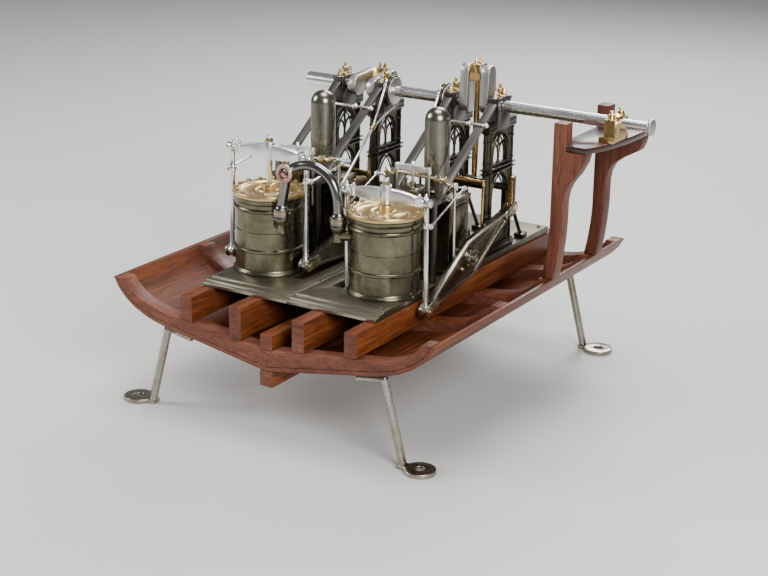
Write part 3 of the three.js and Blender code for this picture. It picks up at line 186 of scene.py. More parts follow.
metals = {  # clean and toned colour, roughness, how the surface was worked, how much tarnish shows
    "gunmetal": {"clean": (0.190, 0.172, 0.115), "toned": (0.052, 0.047, 0.027), "roughness": (0.19, 0.31),
                 "stretch": (1, 1, 14), "tarnish": 0.7},
    "polished_gunmetal": {"clean": (0.260, 0.250, 0.205), "toned": (0.120, 0.110, 0.080),
                          "roughness": (0.20, 0.32), "stretch": (1, 1, 0.1), "tarnish": 0.6},
    "pipe_steel": {"clean": (0.240, 0.235, 0.215), "toned": (0.110, 0.105, 0.090), "roughness": (0.12, 0.24),
                   "stretch": (1, 1, 8), "tarnish": 0.5},
    "bearing_steel": {"clean": (0.125, 0.115, 0.112), "toned": (0.045, 0.040, 0.038),
                      "roughness": (0.28, 0.42),
                      "stretch": (1, 1, 1), "tarnish": 0.6},
    "crank_steel": {"clean": (0.560, 0.550, 0.520), "toned": (0.330, 0.315, 0.270),
                    "roughness": (0.30, 0.46),
                    "stretch": (1, 1, 0.4), "tarnish": 0.35},
    "satin_steel": {"clean": (0.860, 0.860, 0.870), "toned": (0.640, 0.635, 0.630),
                    "roughness": (0.26, 0.38),
                    "stretch": (1, 1, 0.4), "tarnish": 0.3},
    "frame_iron": {"clean": (0.105, 0.098, 0.072), "toned": (0.030, 0.027, 0.018), "roughness": (0.24, 0.42),
                   "stretch": (1, 1, 1), "tarnish": 0.8},
    "bedplate_iron": {"clean": (0.200, 0.185, 0.130), "toned": (0.085, 0.076, 0.048),
                      "roughness": (0.38, 0.54),
                      "stretch": (1, 0.6, 1), "tarnish": 0.7},
    "bedplate_edge": {"clean": (0.430, 0.400, 0.350), "toned": (0.190, 0.172, 0.135),
                      "roughness": (0.26, 0.42),
                      "stretch": (0.1, 1, 1), "tarnish": 0.6},
    "bright_steel": {"clean": (0.840, 0.832, 0.810), "toned": (0.600, 0.580, 0.530),
                     "roughness": (0.18, 0.30),
                     "stretch": (1, 1, 0.2), "tarnish": 0.2},
    "brass": {"clean": (0.640, 0.430, 0.175), "toned": (0.330, 0.195, 0.070), "roughness": (0.16, 0.30),
              "stretch": (1, 1, 6), "tarnish": 0.6},
    "cover_brass": {"clean": (0.720, 0.530, 0.250), "toned": (0.360, 0.240, 0.100),
                    "roughness": (0.26, 0.40),
                    "stretch": (1, 1, 1), "tarnish": 0.55},
    "pale_brass": {"clean": (0.760, 0.660, 0.450), "toned": (0.440, 0.340, 0.190), "roughness": (0.14, 0.28),
                   "stretch": (1, 1, 1), "tarnish": 0.5},
    "dark_bronze": {"clean": (0.150, 0.118, 0.070), "toned": (0.050, 0.036, 0.020), "roughness": (0.24, 0.4),
                    "stretch": (1, 1, 0.3), "tarnish": 0.7},
    "lever_bronze": {"clean": (0.400, 0.380, 0.300), "toned": (0.150, 0.138, 0.098),
                     "roughness": (0.16, 0.30),
                     "stretch": (1, 1, 1), "tarnish": 0.65},
    "grey_steel": {"clean": (0.180, 0.168, 0.158), "toned": (0.085, 0.077, 0.068), "roughness": (0.34, 0.48),
                   "stretch": (3, 0.3, 0.3), "tarnish": 0.5},
    "leg_steel": {"clean": (0.430, 0.415, 0.370), "toned": (0.210, 0.170, 0.085), "roughness": (0.2, 0.4),
                  "stretch": (1, 1, 0.35), "tarnish": 0.85},
    "pipe_copper": {"clean": (0.640, 0.400, 0.350), "toned": (0.330, 0.190, 0.160),
                    "roughness": (0.26, 0.42),
                    "stretch": (1, 1, 1), "tarnish": 0.5},
    "bore_red": {"clean": (0.160, 0.018, 0.016), "toned": (0.060, 0.008, 0.008), "roughness": (0.4, 0.6),
                 "stretch": (1, 1, 1), "tarnish": 0.5},
}


def metalFinish(name, look):
    paint = Paint(name, {"Metallic": 0.0 if name == "bore_red" else 1.0})
    patch = paint.noise(55, (1, 1, 1), 5, 0.6, 0.6)
    fleck = paint.noise(420, (1, 1, 1), 3, 0.6)
    line = paint.noise(900, look["stretch"], 2, 0.5)
    mask = paint.spread(patch * 0.75 + fleck * 0.25, 0.36, 0.68, 0, look["tarnish"])
    paint.feed("Base Color", paint.blend(mask, (*look["clean"], 1), (*look["toned"], 1)))
    smooth, rough = look["roughness"]
    paint.feed("Roughness", paint.spread(patch * 0.6 + line * 0.4, 0.35, 0.65, smooth, rough))
    paint.bump(line * 0.8 + fleck * 0.2, 0.03, 0.00004)
    finishes[name] = paint.material


for finishName, finishLook in woods.items():
    woodFinish(finishName, finishLook)
for finishName, finishLook in metals.items():
    metalFinish(finishName, finishLook)
print("finishes mixed:", len(finishes))


# The workbench: making, turning and finishing one piece.

def deselect():
    bpy.ops.object.select_all(action="DESELECT")


def takeUp(piece):
    deselect()
    piece.select_set(True)
    bpy.context.view_layer.objects.active = piece


def settle(piece):
    takeUp(piece)
    bpy.ops.object.transform_apply(location=True, rotation=True, scale=True)
    return piece


def put(piece, start, direction):  # stands a piece built along Z at a point, facing a direction
    piece.rotation_mode = "QUATERNION"
    piece.rotation_quaternion = Vector(direction).to_track_quat("Z", "Y")
    piece.location = start
    return settle(piece)


def turnPiece(profile, start, direction=(0, 0, 1), sides=40):  # [radius, height] steps, as on a lathe
    radius, height = profile[0]
    deselect()
    bpy.ops.mesh.primitive_circle_add(vertices=sides, radius=radius, fill_type="NGON")
    piece = bpy.context.object
    bpy.ops.object.mode_set(mode="EDIT")
    bpy.ops.transform.translate(value=(0, 0, height))
    for nextRadius, nextHeight in profile[1:]:
        bpy.ops.mesh.extrude_region_move(TRANSFORM_OT_translate={"value": (0, 0, nextHeight - height)})
        growth = nextRadius / radius
        bpy.ops.transform.resize(value=(growth, growth, 1), center_override=(0, 0, nextHeight))
        radius, height = nextRadius, nextHeight
    bpy.ops.mesh.select_all(action="SELECT")
    bpy.ops.mesh.normals_make_consistent(inside=False)
    bpy.ops.object.mode_set(mode="OBJECT")
    return put(piece, start, direction)


def block(lowCorner, highCorner, chamfer=0.4):
    first, last = Vector(lowCorner), Vector(highCorner)
    deselect()
    bpy.ops.mesh.primitive_cube_add(size=1, location=(first + last) / 2, scale=last - first)
    piece = settle(bpy.context.object)
    bpy.ops.object.mode_set(mode="EDIT")
    bpy.ops.mesh.select_all(action="SELECT")
    bpy.ops.mesh.bevel(offset=chamfer, segments=2, affect="EDGES")
    bpy.ops.object.mode_set(mode="OBJECT")
    return piece


def wire(points, radius, sides=5, closed=False):  # a bar drawn along a smooth line of points
    curve = bpy.data.curves.new("wire", "CURVE")
    curve.dimensions = "3D"
    curve.bevel_depth = radius
    curve.bevel_resolution = sides
    curve.use_fill_caps = True
    spline = curve.splines.new("POLY")
    spline.points.add(len(points) - 1)
    for point, spot in zip(spline.points, points):
        point.co = (*spot, 1)
    spline.use_cyclic_u = closed
    piece = bpy.data.objects.new("wire", curve)
    bpy.context.scene.collection.objects.link(piece)
    takeUp(piece)
    bpy.ops.object.convert(target="MESH")
    return bpy.context.object


def smoothLine(points, steps=8):  # extra points on a smooth curve through the given ones
    spots = [Vector(point) for point in points]
    spots = [2 * spots[0] - spots[1], *spots, 2 * spots[-1] - spots[-2]]
    found = []
    for a, b, c, d in zip(spots, spots[1:], spots[2:], spots[3:]):
        for step in range(steps):
            t = step / steps
            found.append(0.5 * (2 * b + (c - a) * t + (2 * a - 5 * b + 4 * c - d) * t * t
                                + (3 * b - a - 3 * c + d) * t * t * t))
    return [*found, spots[-2]]


def copyOf(piece, shift=(0, 0, 0)):
    twin = piece.copy()
    twin.data = piece.data.copy()
    bpy.context.scene.collection.objects.link(twin)
    twin.location = Vector(shift)
    return settle(twin)


def together(pieces):
    deselect()
    for piece in pieces:
        piece.select_set(True)
    bpy.context.view_layer.objects.active = pieces[0]
    if len(pieces) > 1:
        bpy.ops.object.join()
    return bpy.context.object


def dress(piece, name, finish, body, replaced=(), angle=40):
    piece.name = name
    piece.data.name = name
    takeUp(piece)
    bpy.ops.object.shade_smooth_by_angle(angle=math.radians(angle))
    piece.data.materials.clear()
    piece.data.materials.append(finishes[finish])
    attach(piece, body)
    if replaced:
        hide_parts(*replaced)
    return piece


# Gives another finish to the faces that the test picks by their middle, in millimetres, and their normal.
def tint(piece, finish, test):
    piece.data.materials.append(finishes[finish])
    last = len(piece.data.materials) - 1
    for face in piece.data.polygons:
        if test(face.center * unit, face.normal):
            face.material_index = last
    return piece


def finishPiece(pieces, name, finish, body, replaced=(), angle=40):
    piece = together(pieces)
    piece.scale = (1 / unit, 1 / unit, 1 / unit)
    return dress(settle(piece), name, finish, body, replaced, angle)


def nut(start, direction, size=1.5, height=1.6, stud=0.8):  # six-sided nut with a rounded stud end
    body = turnPiece([(size, 0), (size, height * 0.8), (size * 0.84, height)], start, direction, 6)
    top = height + stud
    tip = turnPiece([(size * 0.5, height * 0.5), (size * 0.5, top * 0.93), (size * 0.3, top)], start,
                    direction, 10)
    return together([body, tip])


def ringOf(makeOne, centre, radius, count, phase=0.0):
    found = []
    for step in range(count):
        angle = 2 * math.pi * step / count + phase
        reach = Vector((radius * math.cos(angle), radius * math.sin(angle), 0))
        found.append(makeOne(Vector(centre) + reach))
    return found


# A copy of a frame node with its edges eased and its round faces shaded smooth. With across, it is the
# matching piece on the other side of the centre line at that x, in millimetres, and replaces nothing.
def workUp(node, finish, ease=0.22, angle=50, topZ=None, suffix="_body", across=None):
    source = frame["nodes"][node]
    piece = bpy.data.objects.new(node + suffix, source.data.copy())
    bpy.context.scene.collection.objects.link(piece)
    takeUp(piece)
    bpy.ops.object.mode_set(mode="EDIT")
    bpy.ops.mesh.select_all(action="SELECT")
    bpy.ops.mesh.remove_doubles(threshold=0.00001)
    bpy.ops.mesh.dissolve_limited(angle_limit=math.radians(1))
    bpy.ops.object.mode_set(mode="OBJECT")
    if topZ:
        bpy.ops.mesh.primitive_cube_add(size=0.5, location=(0, 0, topZ / unit + 0.25))
        cutter = bpy.context.object
        takeUp(piece)
        bpy.ops.object.modifier_add(type="BOOLEAN")
        trim = piece.modifiers[0]
        trim.operation = "DIFFERENCE"
        trim.object = cutter
        bpy.ops.object.modifier_apply(modifier=trim.name)
        bpy.data.objects.remove(cutter)
        takeUp(piece)
    if ease:
        bpy.ops.object.modifier_add(type="BEVEL")
        bevel = piece.modifiers[0]
        bevel.width = ease / unit
        bevel.segments = 2
        bevel.limit_method = "ANGLE"
        bevel.angle_limit = math.radians(angle)
        bevel.use_clamp_overlap = False
        bpy.ops.object.modifier_apply(modifier=bevel.name)
    if across is not None:
        piece.scale.x = -1
        piece.location.x = 2 * across / unit
        settle(piece)
        bpy.ops.object.mode_set(mode="EDIT")
        bpy.ops.mesh.select_all(action="SELECT")
        bpy.ops.mesh.normals_make_consistent(inside=False)
        bpy.ops.object.mode_set(mode="OBJECT")
    replaced = (node,) if across is None else ()
    return dress(piece, node + suffix, finish, bodyOf[node], replaced, angle)


# The hull, its legs and the bedplates.

hullLook = {"ease": 0.5}


def facesFront(spot, normal):
    return normal.y < -0.9


for node in ("hull_planking", "keel", "keelson", *(f"engine_bearer_{i}" for i in (1, 2, 3, 4))):
    tint(workUp(node, "mahogany", hullLook["ease"]), "mahogany_end_grain", facesFront)
workUp("hull_front_rib", "mahogany_end_grain", hullLook["ease"])
for node in ("bracket_front_post", "bracket_rear_post"):
    workUp(node, "mahogany_upright", hullLook["ease"])
shelfBody = workUp("bracket_shelf", "mahogany_shelf", hullLook["ease"])
tint(shelfBody, "shelf_edge", lambda spot, normal: abs(normal.z) < 0.6)
for node in ("front_left_leg", "front_right_leg", "rear_left_leg", "rear_right_leg"):
    workUp(node, "leg_steel", 0.4)

bedLook = {"nut": 1.5, "nutHeight": 1.5, "inset": 5, "edgeNuts": 9, "joint": 1.6}
for node in ("left_bedplate", "right_bedplate"):
    tint(workUp(node, "bedplate_iron", 0.3), "bedplate_edge", facesFront)
bedTop = high("left_bedplate").z
outer = {"left": low("left_bedplate").x + bedLook["inset"],
         "right": high("right_bedplate").x - bedLook["inset"]}
for side, x in outer.items():
    front, rear = low("left_bedplate").y + 17, high("left_bedplate").y - 8
    gap = (rear - front) / (bedLook["edgeNuts"] - 1)
    one = nut((0, 0, 0), (0, 0, 1), bedLook["nut"], bedLook["nutHeight"], 0.6)
    row = [copyOf(one, (x, front + step * gap, bedTop)) for step in range(bedLook["edgeNuts"])]
    bpy.data.objects.remove(one)
    finishPiece(row, f"{side}_bedplate_nuts", "grey_steel", "root")
strip = block((high("left_bedplate").x - bedLook["joint"], low("left_bedplate").y + 13, bedTop - 0.2),
              (high("left_bedplate").x + bedLook["joint"] + 0.3, high("left_bedplate").y - 4,
               bedTop + 0.5), 0.2)
finishPiece([strip], "bedplate_joint", "bedplate_edge", "root")
workUp("outer_bearing", "brass", 0.2)
print("hull, legs and bedplates done")


# The paddle shaft.

shaftAxis = pivot("paddle_shaft_turn")
for node in ("left_paddle_shaft", "middle_paddle_shaft", "right_paddle_shaft"):
    workUp(node, "crank_steel", 0.5, 40)
engineX = {side: middle(f"{side}_crosshead").x for side in ("left", "right")}
shaftLook = {"radius": 4.92, "stub": 6.4, "stubLength": 29, "journal": 4.0, "webOut": 13.7,
             "bearingHalf": 6, "lip": 3.2}
shaftStart = low("left_paddle_shaft").x
bearingX = middle("outer_bearing").x - shaftLook["bearingHalf"]
spans = {
    "left_shaft_end": (shaftStart, shaftStart + shaftLook["stubLength"], shaftLook["stub"]),
    "left_shaft_body": (shaftStart + shaftLook["stubLength"], engineX["left"] - shaftLook["webOut"],
                        shaftLook["radius"]),
    "middle_shaft_body": (engineX["left"] + shaftLook["webOut"], engineX["right"] - shaftLook["webOut"],
                          shaftLook["radius"]),
    "right_shaft_body": (engineX["right"] + shaftLook["webOut"], bearingX, shaftLook["radius"]),
    "right_shaft_end": (bearingX, high("right_paddle_shaft").x - shaftLook["lip"], shaftLook["journal"]),
}
for name, (start, end, radius) in spans.items():
    length = end - start
    outline = [(radius - 0.3, 0.02), (radius, 0.3), (radius, length - 0.3), (radius - 0.3, length - 0.02)]
    bar = turnPiece(outline, (start, shaftAxis.y, shaftAxis.z), (1, 0, 0), 64)
    finishPiece([bar], name, "bright_steel", "paddle_shaft")
print("paddle shaft done")


# The two engines.

cylinderLook = {
    "profile": [(29.8, 0), (29.8, 1.8), (29.3, 2.4), (28.7, 2.7), (28.3, 3.4), (28.0, 4.4), (28.0, 18.4),
                (28.7, 18.7), (29.3, 19.4), (29.3, 20.9), (28.7, 21.6), (28.0, 21.9), (28.0, 35.4),
                (27.3, 35.6), (27.3, 37.0), (28.0, 37.2), (28.0, 51.8), (28.8, 52.1), (29.4, 52.9),
                (29.4, 54.5), (28.8, 55.3), (28.0, 55.6), (28.0, 58.4), (28.5, 58.8), (29.4, 59.3),
                (29.8, 59.8), (29.8, 62.6), (29.5, 62.9)],
    "sides": 96,
    "boss": [(3.9, 0), (4.5, 0.6), (4.4, 2), (4.5, 7), (5.4, 9), (6.4, 11), (6.6, 13.2), (6.4, 14)],
    "stub": 4.3, "bossDrop": 14, "stubDrop": 8.7,
}
coverLook = {
    "profile": [(30.1, 0), (30.3, 0.3), (30.3, 2.9), (30.0, 3.4), (24.6, 3.4), (24.0, 3.2), (23.3, 2.1),
                (22.7, 1.8), (13.0, 1.8), (12.4, 2.2), (11.4, 2.2), (10.8, 1.8), (9.4, 1.8), (9.0, 2.4),
                (8.8, 2.7), (6.9, 2.8), (6.1, 3.2), (6.1, 6.6), (5.8, 7.2), (4.2, 7.4), (3.9, 7.6)],
    "nuts": 16, "nutCircle": 27.4, "nutSize": 1.8, "nutHeight": 1.7, "studSpread": 7.8,
}
frameLook = {
    "spread": 18.5, "shaftRadius": 1.0, "shaftOffset": 3.3, "ring": 4.4,
    "rings": (6, 15.5, 33, 51, 69.5, 77.5, 96, 103),
    "archHalf": 15, "lower": (125, 178.5), "upper": (186, 213), "springing": 19, "moulding": 0.75,
    "lubricator": [(2.9, 0), (2.9, 0.9), (1.5, 1.5), (1.2, 2.6), (2.3, 4.0), (2.8, 5.6), (2.5, 7.0),
                   (1.4, 7.8), (0.8, 8.3), (1.3, 9.0), (1.7, 9.8), (1.3, 10.7), (0.6, 11.2)],
    "mullion": [(1.6, 0), (1.6, 1), (1.1, 2), (1.1, 8.6), (1.6, 9.2), (1.6, 10), (1.1, 10.6), (1.1, 24),
                (1.6, 25), (1.6, 27)],
    "nutSpread": 8, "nut": [(2.6, 0), (2.6, 2.2), (2.0, 2.6), (1.6, 4.2), (0.8, 6.2), (0.4, 6.8)],
}
vesselLook = {
    "back": 6.2, "foot": 172,
    "profile": [(11.9, 0), (11.9, 2.2), (11.4, 2.7), (10.2, 3.2), (9.5, 4.2), (9.4, 11.8), (10.2, 12.3),
                (10.5, 13), (10.4, 14), (10.4, 59.8), (10.2, 61.9), (9.6, 63.9), (8.6, 65.7), (7.3, 67.2),
                (5.8, 68.4), (4.1, 69.3), (2.3, 69.8), (0.6, 70.0)],
}
leverLook = {"boltAlong": 17, "bossFace": 3.3, "boltFace": 1.3, "endFace": 4.05,
             "boss": [(7.6, 0), (7.6, 0.5), (6.9, 1.0), (5.4, 1.0), (5.0, 0.5), (3.9, 0.5)],
             "hub": [(3.7, 0.3), (3.7, 1.6), (3.2, 2.0), (1.6, 2.0), (1.4, 2.4)],
             "end": [(4.3, 0), (4.3, 0.4), (3.6, 0.7), (1.9, 0.7), (1.8, 0.85), (1.2, 0.85)]}
crossheadLook = {"end": [(3.2, -3.4), (3.6, -3.0), (3.6, 3.0), (3.2, 3.4)],
                 "cap": [(3.4, 0), (3.4, 1.3), (2.9, 1.8), (1.6, 1.9)],
                 "nut": 3.1, "nutFoot": 9}
stayLook = {"ahead": 34, "side": 26, "ballSpread": (11, 26.5),
            "ball": [(1.2, -2.2), (2.1, -1.4), (2.4, 0), (2.1, 1.4), (1.2, 2.2)]}
eccentricLook = {"strapRadius": 14, "jointAlong": 62,
                 "joint": [(1.6, -3.2), (2.3, -2.6), (2.3, 2.6), (1.6, 3.2)]}
bearingTop = 241.5


def archLine(x, halfWidth, footZ, crownZ):  # up one side of a pointed arch and down the other
    rise = frameLook["springing"]
    springZ = crownZ - rise
    centre = (rise ** 2 - halfWidth ** 2) / (2 * halfWidth)
    radius = halfWidth + centre
    sweep = math.asin(rise / radius)
    half = [(-centre + radius * math.cos(sweep * step / 8), springZ + radius * math.sin(sweep * step / 8))
            for step in range(9)]
    right = [(halfWidth, footZ), *half]
    line = [*right, *[(-y, z) for y, z in reversed(right[:-1])]]
    return [(x, shaftAxis.y + y, z) for y, z in line]


def framePieces(node):
    x = middle(node).x
    foot = low(node).z
    top = frameLook["upper"][1]
    columns = []
    for way in (-1, 1):
        y = shaftAxis.y + way * frameLook["spread"]
        for stepX, stepY in ((-1, 0), (1, 0), (0, -1), (0, 1)):
            spot = (x + stepX * frameLook["shaftOffset"], y + stepY * frameLook["shaftOffset"], foot + 2)
            radius = frameLook["shaftRadius"]
            columns.append(turnPiece([(radius, 0), (radius, top - foot - 2)], spot, sides=12))
        for height in frameLook["rings"]:
            big = frameLook["ring"]
            profile = [(big - 0.7, 0), (big, 0.5), (big, 1.1), (big - 0.5, 1.5), (big - 0.1, 2.0),
                       (big - 0.8, 2.5)]
            columns.append(turnPiece(profile, (x, y, foot + height), sides=20))
    finishPiece(columns, f"{node}_columns", "frame_iron", "root")
    tracery = []
    for face in (-1.7, 1.7):
        for footZ, crownZ in (frameLook["lower"], frameLook["upper"]):
            for inset in (0, 2.2):
                line = archLine(x + face, frameLook["archHalf"] - inset, footZ, crownZ - inset * 1.3)
                tracery.append(wire(line, frameLook["moulding"], 3))
    footZ, crownZ = frameLook["upper"]
    tracery.append(turnPiece(frameLook["mullion"], (x, shaftAxis.y, footZ), sides=16))
    for way in (-1, 1):
        half = frameLook["archHalf"] / 2
        line = [(x, shaftAxis.y + way * half + (spot[1] - shaftAxis.y) / 2, footZ + (spot[2] - footZ) * 0.62)
                for spot in archLine(x, frameLook["archHalf"], footZ, crownZ)]
        tracery.append(wire(line, 0.9, 3))
    for height in (footZ - 4, footZ - 7.5, foot + 6, crownZ + 2.2, crownZ + 5.5):
        lowCorner = (x - 4.3, shaftAxis.y - 24.2, height)
        tracery.append(block(lowCorner, (x + 4.3, shaftAxis.y + 24.2, height + 1.2), 0.3))
    finishPiece(tracery, f"{node}_tracery", "frame_iron", "root")


def bearingPieces(node):
    x = middle(node).x
    top = bearingTop
    nuts = []
    for way in (-1, 1):
        spot = (x, shaftAxis.y + way * frameLook["nutSpread"], top - 0.3)
        nuts.append(turnPiece(frameLook["nut"], spot, sides=6))
        nuts.append(turnPiece([(3.3, 0), (3.3, 0.5), (2.9, 0.8)], spot, sides=20))
    finishPiece(nuts, f"{node}_bearing_nuts", "pale_brass", "root")
    caps = []
    for way in (-1, 1):
        first, last = sorted([shaftAxis.y + way * 5.6, shaftAxis.y + way * 11.4])
        caps.append(block((x - 5.2, first, top - 3.2), (x + 5.2, last, top - 0.1), 0.4))
        caps.append(block((x - 5.2, first, shaftAxis.z - 2), (x + 5.2, last, shaftAxis.z - 0.6), 0.4))
    finishPiece(caps, f"{node}_bearing_caps", "bearing_steel", "root")
    vase = turnPiece(frameLook["lubricator"], (x, shaftAxis.y, top - 0.2), sides=24)
    finishPiece([vase], f"{node}_lubricator", "brass", "root")
    seats = [nut((x, shaftAxis.y + way * 24, low(node).z + 5), (0, 0, 1), 1.7, 1.6, 0.9) for way in (-1, 1)]
    finishPiece(seats, f"{node}_foot_nuts", "grey_steel", "root")


pipeLook = {
    "unions": ((-58.33, -105.12), (-8.36, -99.85)), "seat": 162.3, "inlet": (-53.03, -110.42, 198.5),
    "radius": 4.0, "rise": 7,
    "union": [(6.2, 0), (6.8, 0.3), (6.8, 2.5), (6.3, 2.8), (6.3, 3.2), (6.8, 3.5), (6.8, 5.6),
              (6.2, 6.3), (5.2, 6.9), (4.6, 8.0), (4.3, 9.2)],
    "ring": [(6.6, 2.5), (7.05, 2.65), (7.05, 3.35), (6.6, 3.5)],
    "flange": [(7.1, 0), (7.6, 0.5), (7.6, 1.8), (7.2, 2.2), (5.0, 2.2), (4.5, 1.9), (4.4, 0.8),
               (3.4, 0.8)],
    "recess": [(4.35, 0.75), (4.1, 1.1), (3.5, 1.1), (3.1, 0.5)],
}


def crossRodHeight():  # of the stays' cross rod, from the left stays' own points
    stay = frame["nodes"]["left_diagonal_stays"]
    near = [vertex.co.z * unit for vertex in stay.data.vertices
            if abs(vertex.co.x * unit - engineX["left"]) > stayLook["side"]
            and abs(vertex.co.y * unit - shaftAxis.y + stayLook["ahead"]) < 3]
    return (min(near) + max(near)) / 2


crossRodZ = crossRodHeight()


def engine(side, outward):
    def node(name):
        return f"{side}_{name}"

    def body(name):
        return bodyOf[node(name)]

    centreX = engineX[side]
    cylinderY = middle(node("crosshead")).y
    main = pivot(node("levers_rock"))
    foot = Vector((centreX, cylinderY, low(node("cylinder")).z))
    for name, finish in (("valve_chest", "gunmetal"), ("condenser", "gunmetal"),
                         ("inner_side_rod", "bright_steel"), ("outer_side_rod", "bright_steel"),
                         ("radius_shaft", "pale_brass"),
                         ("valve_crosshead", "satin_steel"), ("air_pump_crosshead", "brass")):
        workUp(node(name), finish)
    workUp(node("crosshead"), "satin_steel", 0.15, 46)
    for name in ("parallel_bar", "motion_rod"):
        workUp(node(name), "bright_steel")
        workUp(node(name), "bright_steel", suffix="_inner_twin", across=centreX)

    # cylinder and its cover
    union = Vector(pipeLook["unions"][0 if outward < 0 else 1])
    seat = Vector((union.x, union.y, pipeLook["seat"] - 0.3))
    barrel = turnPiece(cylinderLook["profile"], foot, sides=cylinderLook["sides"])
    finishPiece([barrel], node("cylinder_lagging"), "gunmetal", "root", (node("cylinder"),))
    boss = turnPiece(cylinderLook["boss"], seat - Vector((0, 0, cylinderLook["bossDrop"])), sides=40)
    wallPoint = Vector((centreX, cylinderY, seat.z - cylinderLook["stubDrop"]))
    reach = Vector((seat.x, seat.y, wallPoint.z)) - wallPoint
    stub = turnPiece([(cylinderLook["stub"], 26), (cylinderLook["stub"], reach.length)], wallPoint, reach,
                     32)
    finishPiece([boss, stub], node("steam_boss"), "gunmetal", "root")

    coverFoot = Vector((centreX, cylinderY, low(node("cylinder_cover")).z))
    cover = turnPiece(coverLook["profile"], coverFoot, sides=96)
    finishPiece([cover], node("cylinder_top"), "cover_brass", "root", (node("cylinder_cover"),))
    rim = coverFoot + Vector((0, 0, 3.4))
    one = nut((0, 0, 0), (0, 0, 1), coverLook["nutSize"], coverLook["nutHeight"], 0.9)
    nuts = ringOf(lambda spot: copyOf(one, spot), rim, coverLook["nutCircle"], coverLook["nuts"], 0.1)
    bpy.data.objects.remove(one)
    finishPiece(nuts, node("cover_nuts"), "pale_brass", "root")
    studs = [nut(coverFoot + Vector((0, way * coverLook["studSpread"], 2.4)), (0, 0, 1), 1.6, 1.6, 3.2)
             for way in (-1, 1)]
    finishPiece(studs, node("gland_studs"), "pale_brass", "root")

    # crosshead
    pins = middle(node("outer_side_rod")).x - centreX
    top = pivot(node("side_rods_tilt"))
    ends = []
    for way in (-1, 1):
        ends.append(turnPiece(crossheadLook["end"], top + Vector((way * (abs(pins) - 6.4), 0, 0)), sides=24))
        ends.append(nut(top + Vector((way * (abs(pins) - 6.4), 0, 3.3)), (0, 0, 1), 2.1, 1.7, 1.4))
        capSpot = top + Vector((way * (abs(pins) + 2.6), 0, 0))
        ends.append(turnPiece(crossheadLook["cap"], capSpot, (way, 0, 0), 24))
    finishPiece(ends, node("crosshead_ends"), "bright_steel", body("crosshead"))
    crown = nut(top + Vector((0, 0, crossheadLook["nutFoot"])), (0, 0, 1), crossheadLook["nut"], 3.2, 2.4)
    finishPiece([crown], node("crosshead_nut"), "pale_brass", body("crosshead"))

    # levers
    for label in ("inner", "outer"):
        lever = node(f"{label}_lever")
        tint(workUp(lever, "lever_bronze", 0.25), "gunmetal",
             lambda spot, normal, x=middle(lever).x: abs(normal.x) > 0.9 and abs(spot.x - x) < 1.8)
        x = middle(lever).x
        bosses, hubs = [], []
        for way in (-1, 1):
            bosses.append(turnPiece(leverLook["boss"], (x + way * leverLook["bossFace"], main.y, main.z),
                                    (way, 0, 0), 40))
            bosses.append(turnPiece(leverLook["hub"], (x + way * leverLook["bossFace"], main.y, main.z),
                                    (way, 0, 0), 24))
        tail = pivot(node("connecting_rod_swing"))
        nose = 2 * main - tail
        forward = (nose - main).normalized()
        for way in (-1, 1):
            spot = main + forward * leverLook["boltAlong"]
            hubs.append(nut((x + way * leverLook["boltFace"], spot.y, spot.z), (way, 0, 0), 1.5, 1.6, 1.2))
        for end in (tail, nose):
            for way in (-1, 1):
                spot = (x + way * leverLook["endFace"], end.y, end.z)
                hubs.append(turnPiece(leverLook["end"], spot, (way, 0, 0), 24))
        finishPiece(bosses, f"{lever}_bosses", "lever_bronze", body("outer_lever"))
        finishPiece(hubs, f"{lever}_pins", "pale_brass", body("outer_lever"))

    # connecting rod
    tail = pivot(node("connecting_rod_swing"))
    rodBody = workUp(node("connecting_rod"), "dark_bronze")
    tint(rodBody, "brass", lambda spot, normal: spot.z > tail.z + 30 and abs(spot.x - centreX) < 12)
    tint(rodBody, "brass", lambda spot, normal: abs(spot.x - centreX) > 33.7 and spot.z > tail.z + 5)
    tint(rodBody, "bright_steel", lambda spot, normal: spot.z > tail.z + 104 and abs(normal.x) > 0.8)

    # frames, bearings and stays
    for label in ("inner", "outer"):
        frameNode = node(f"{label}_frame")
        tint(workUp(frameNode, "frame_iron", topZ=bearingTop), "bearing_steel",
             lambda spot, normal: spot.z > 223 and abs(spot.y - shaftAxis.y) < 12)
        framePieces(frameNode)
        bearingPieces(frameNode)
    stayBody = workUp(node("diagonal_stays"), "grey_steel", 0.2, 30)
    tint(stayBody, "bright_steel", lambda spot, normal: abs(spot.x - centreX) < 16)
    tint(stayBody, "pale_brass", lambda spot, normal: 187 < spot.z < 198 and spot.y < main.y - 20)
    rodY = shaftAxis.y - stayLook["ahead"]
    balls = []
    for way in (-1, 1):
        for reach in stayLook["ballSpread"]:
            spot = (centreX + way * reach, rodY, crossRodZ)
            balls.append(turnPiece(stayLook["ball"], spot, (1, 0, 0), 20))
    finishPiece(balls, node("cross_rod_balls"), "bright_steel", "root")

    # air vessel
    vesselFoot = Vector((centreX, main.y + vesselLook["back"], vesselLook["foot"]))
    vessel = turnPiece(vesselLook["profile"], vesselFoot, sides=64)
    finishPiece([vessel], node("air_vessel"), "polished_gunmetal", "root")

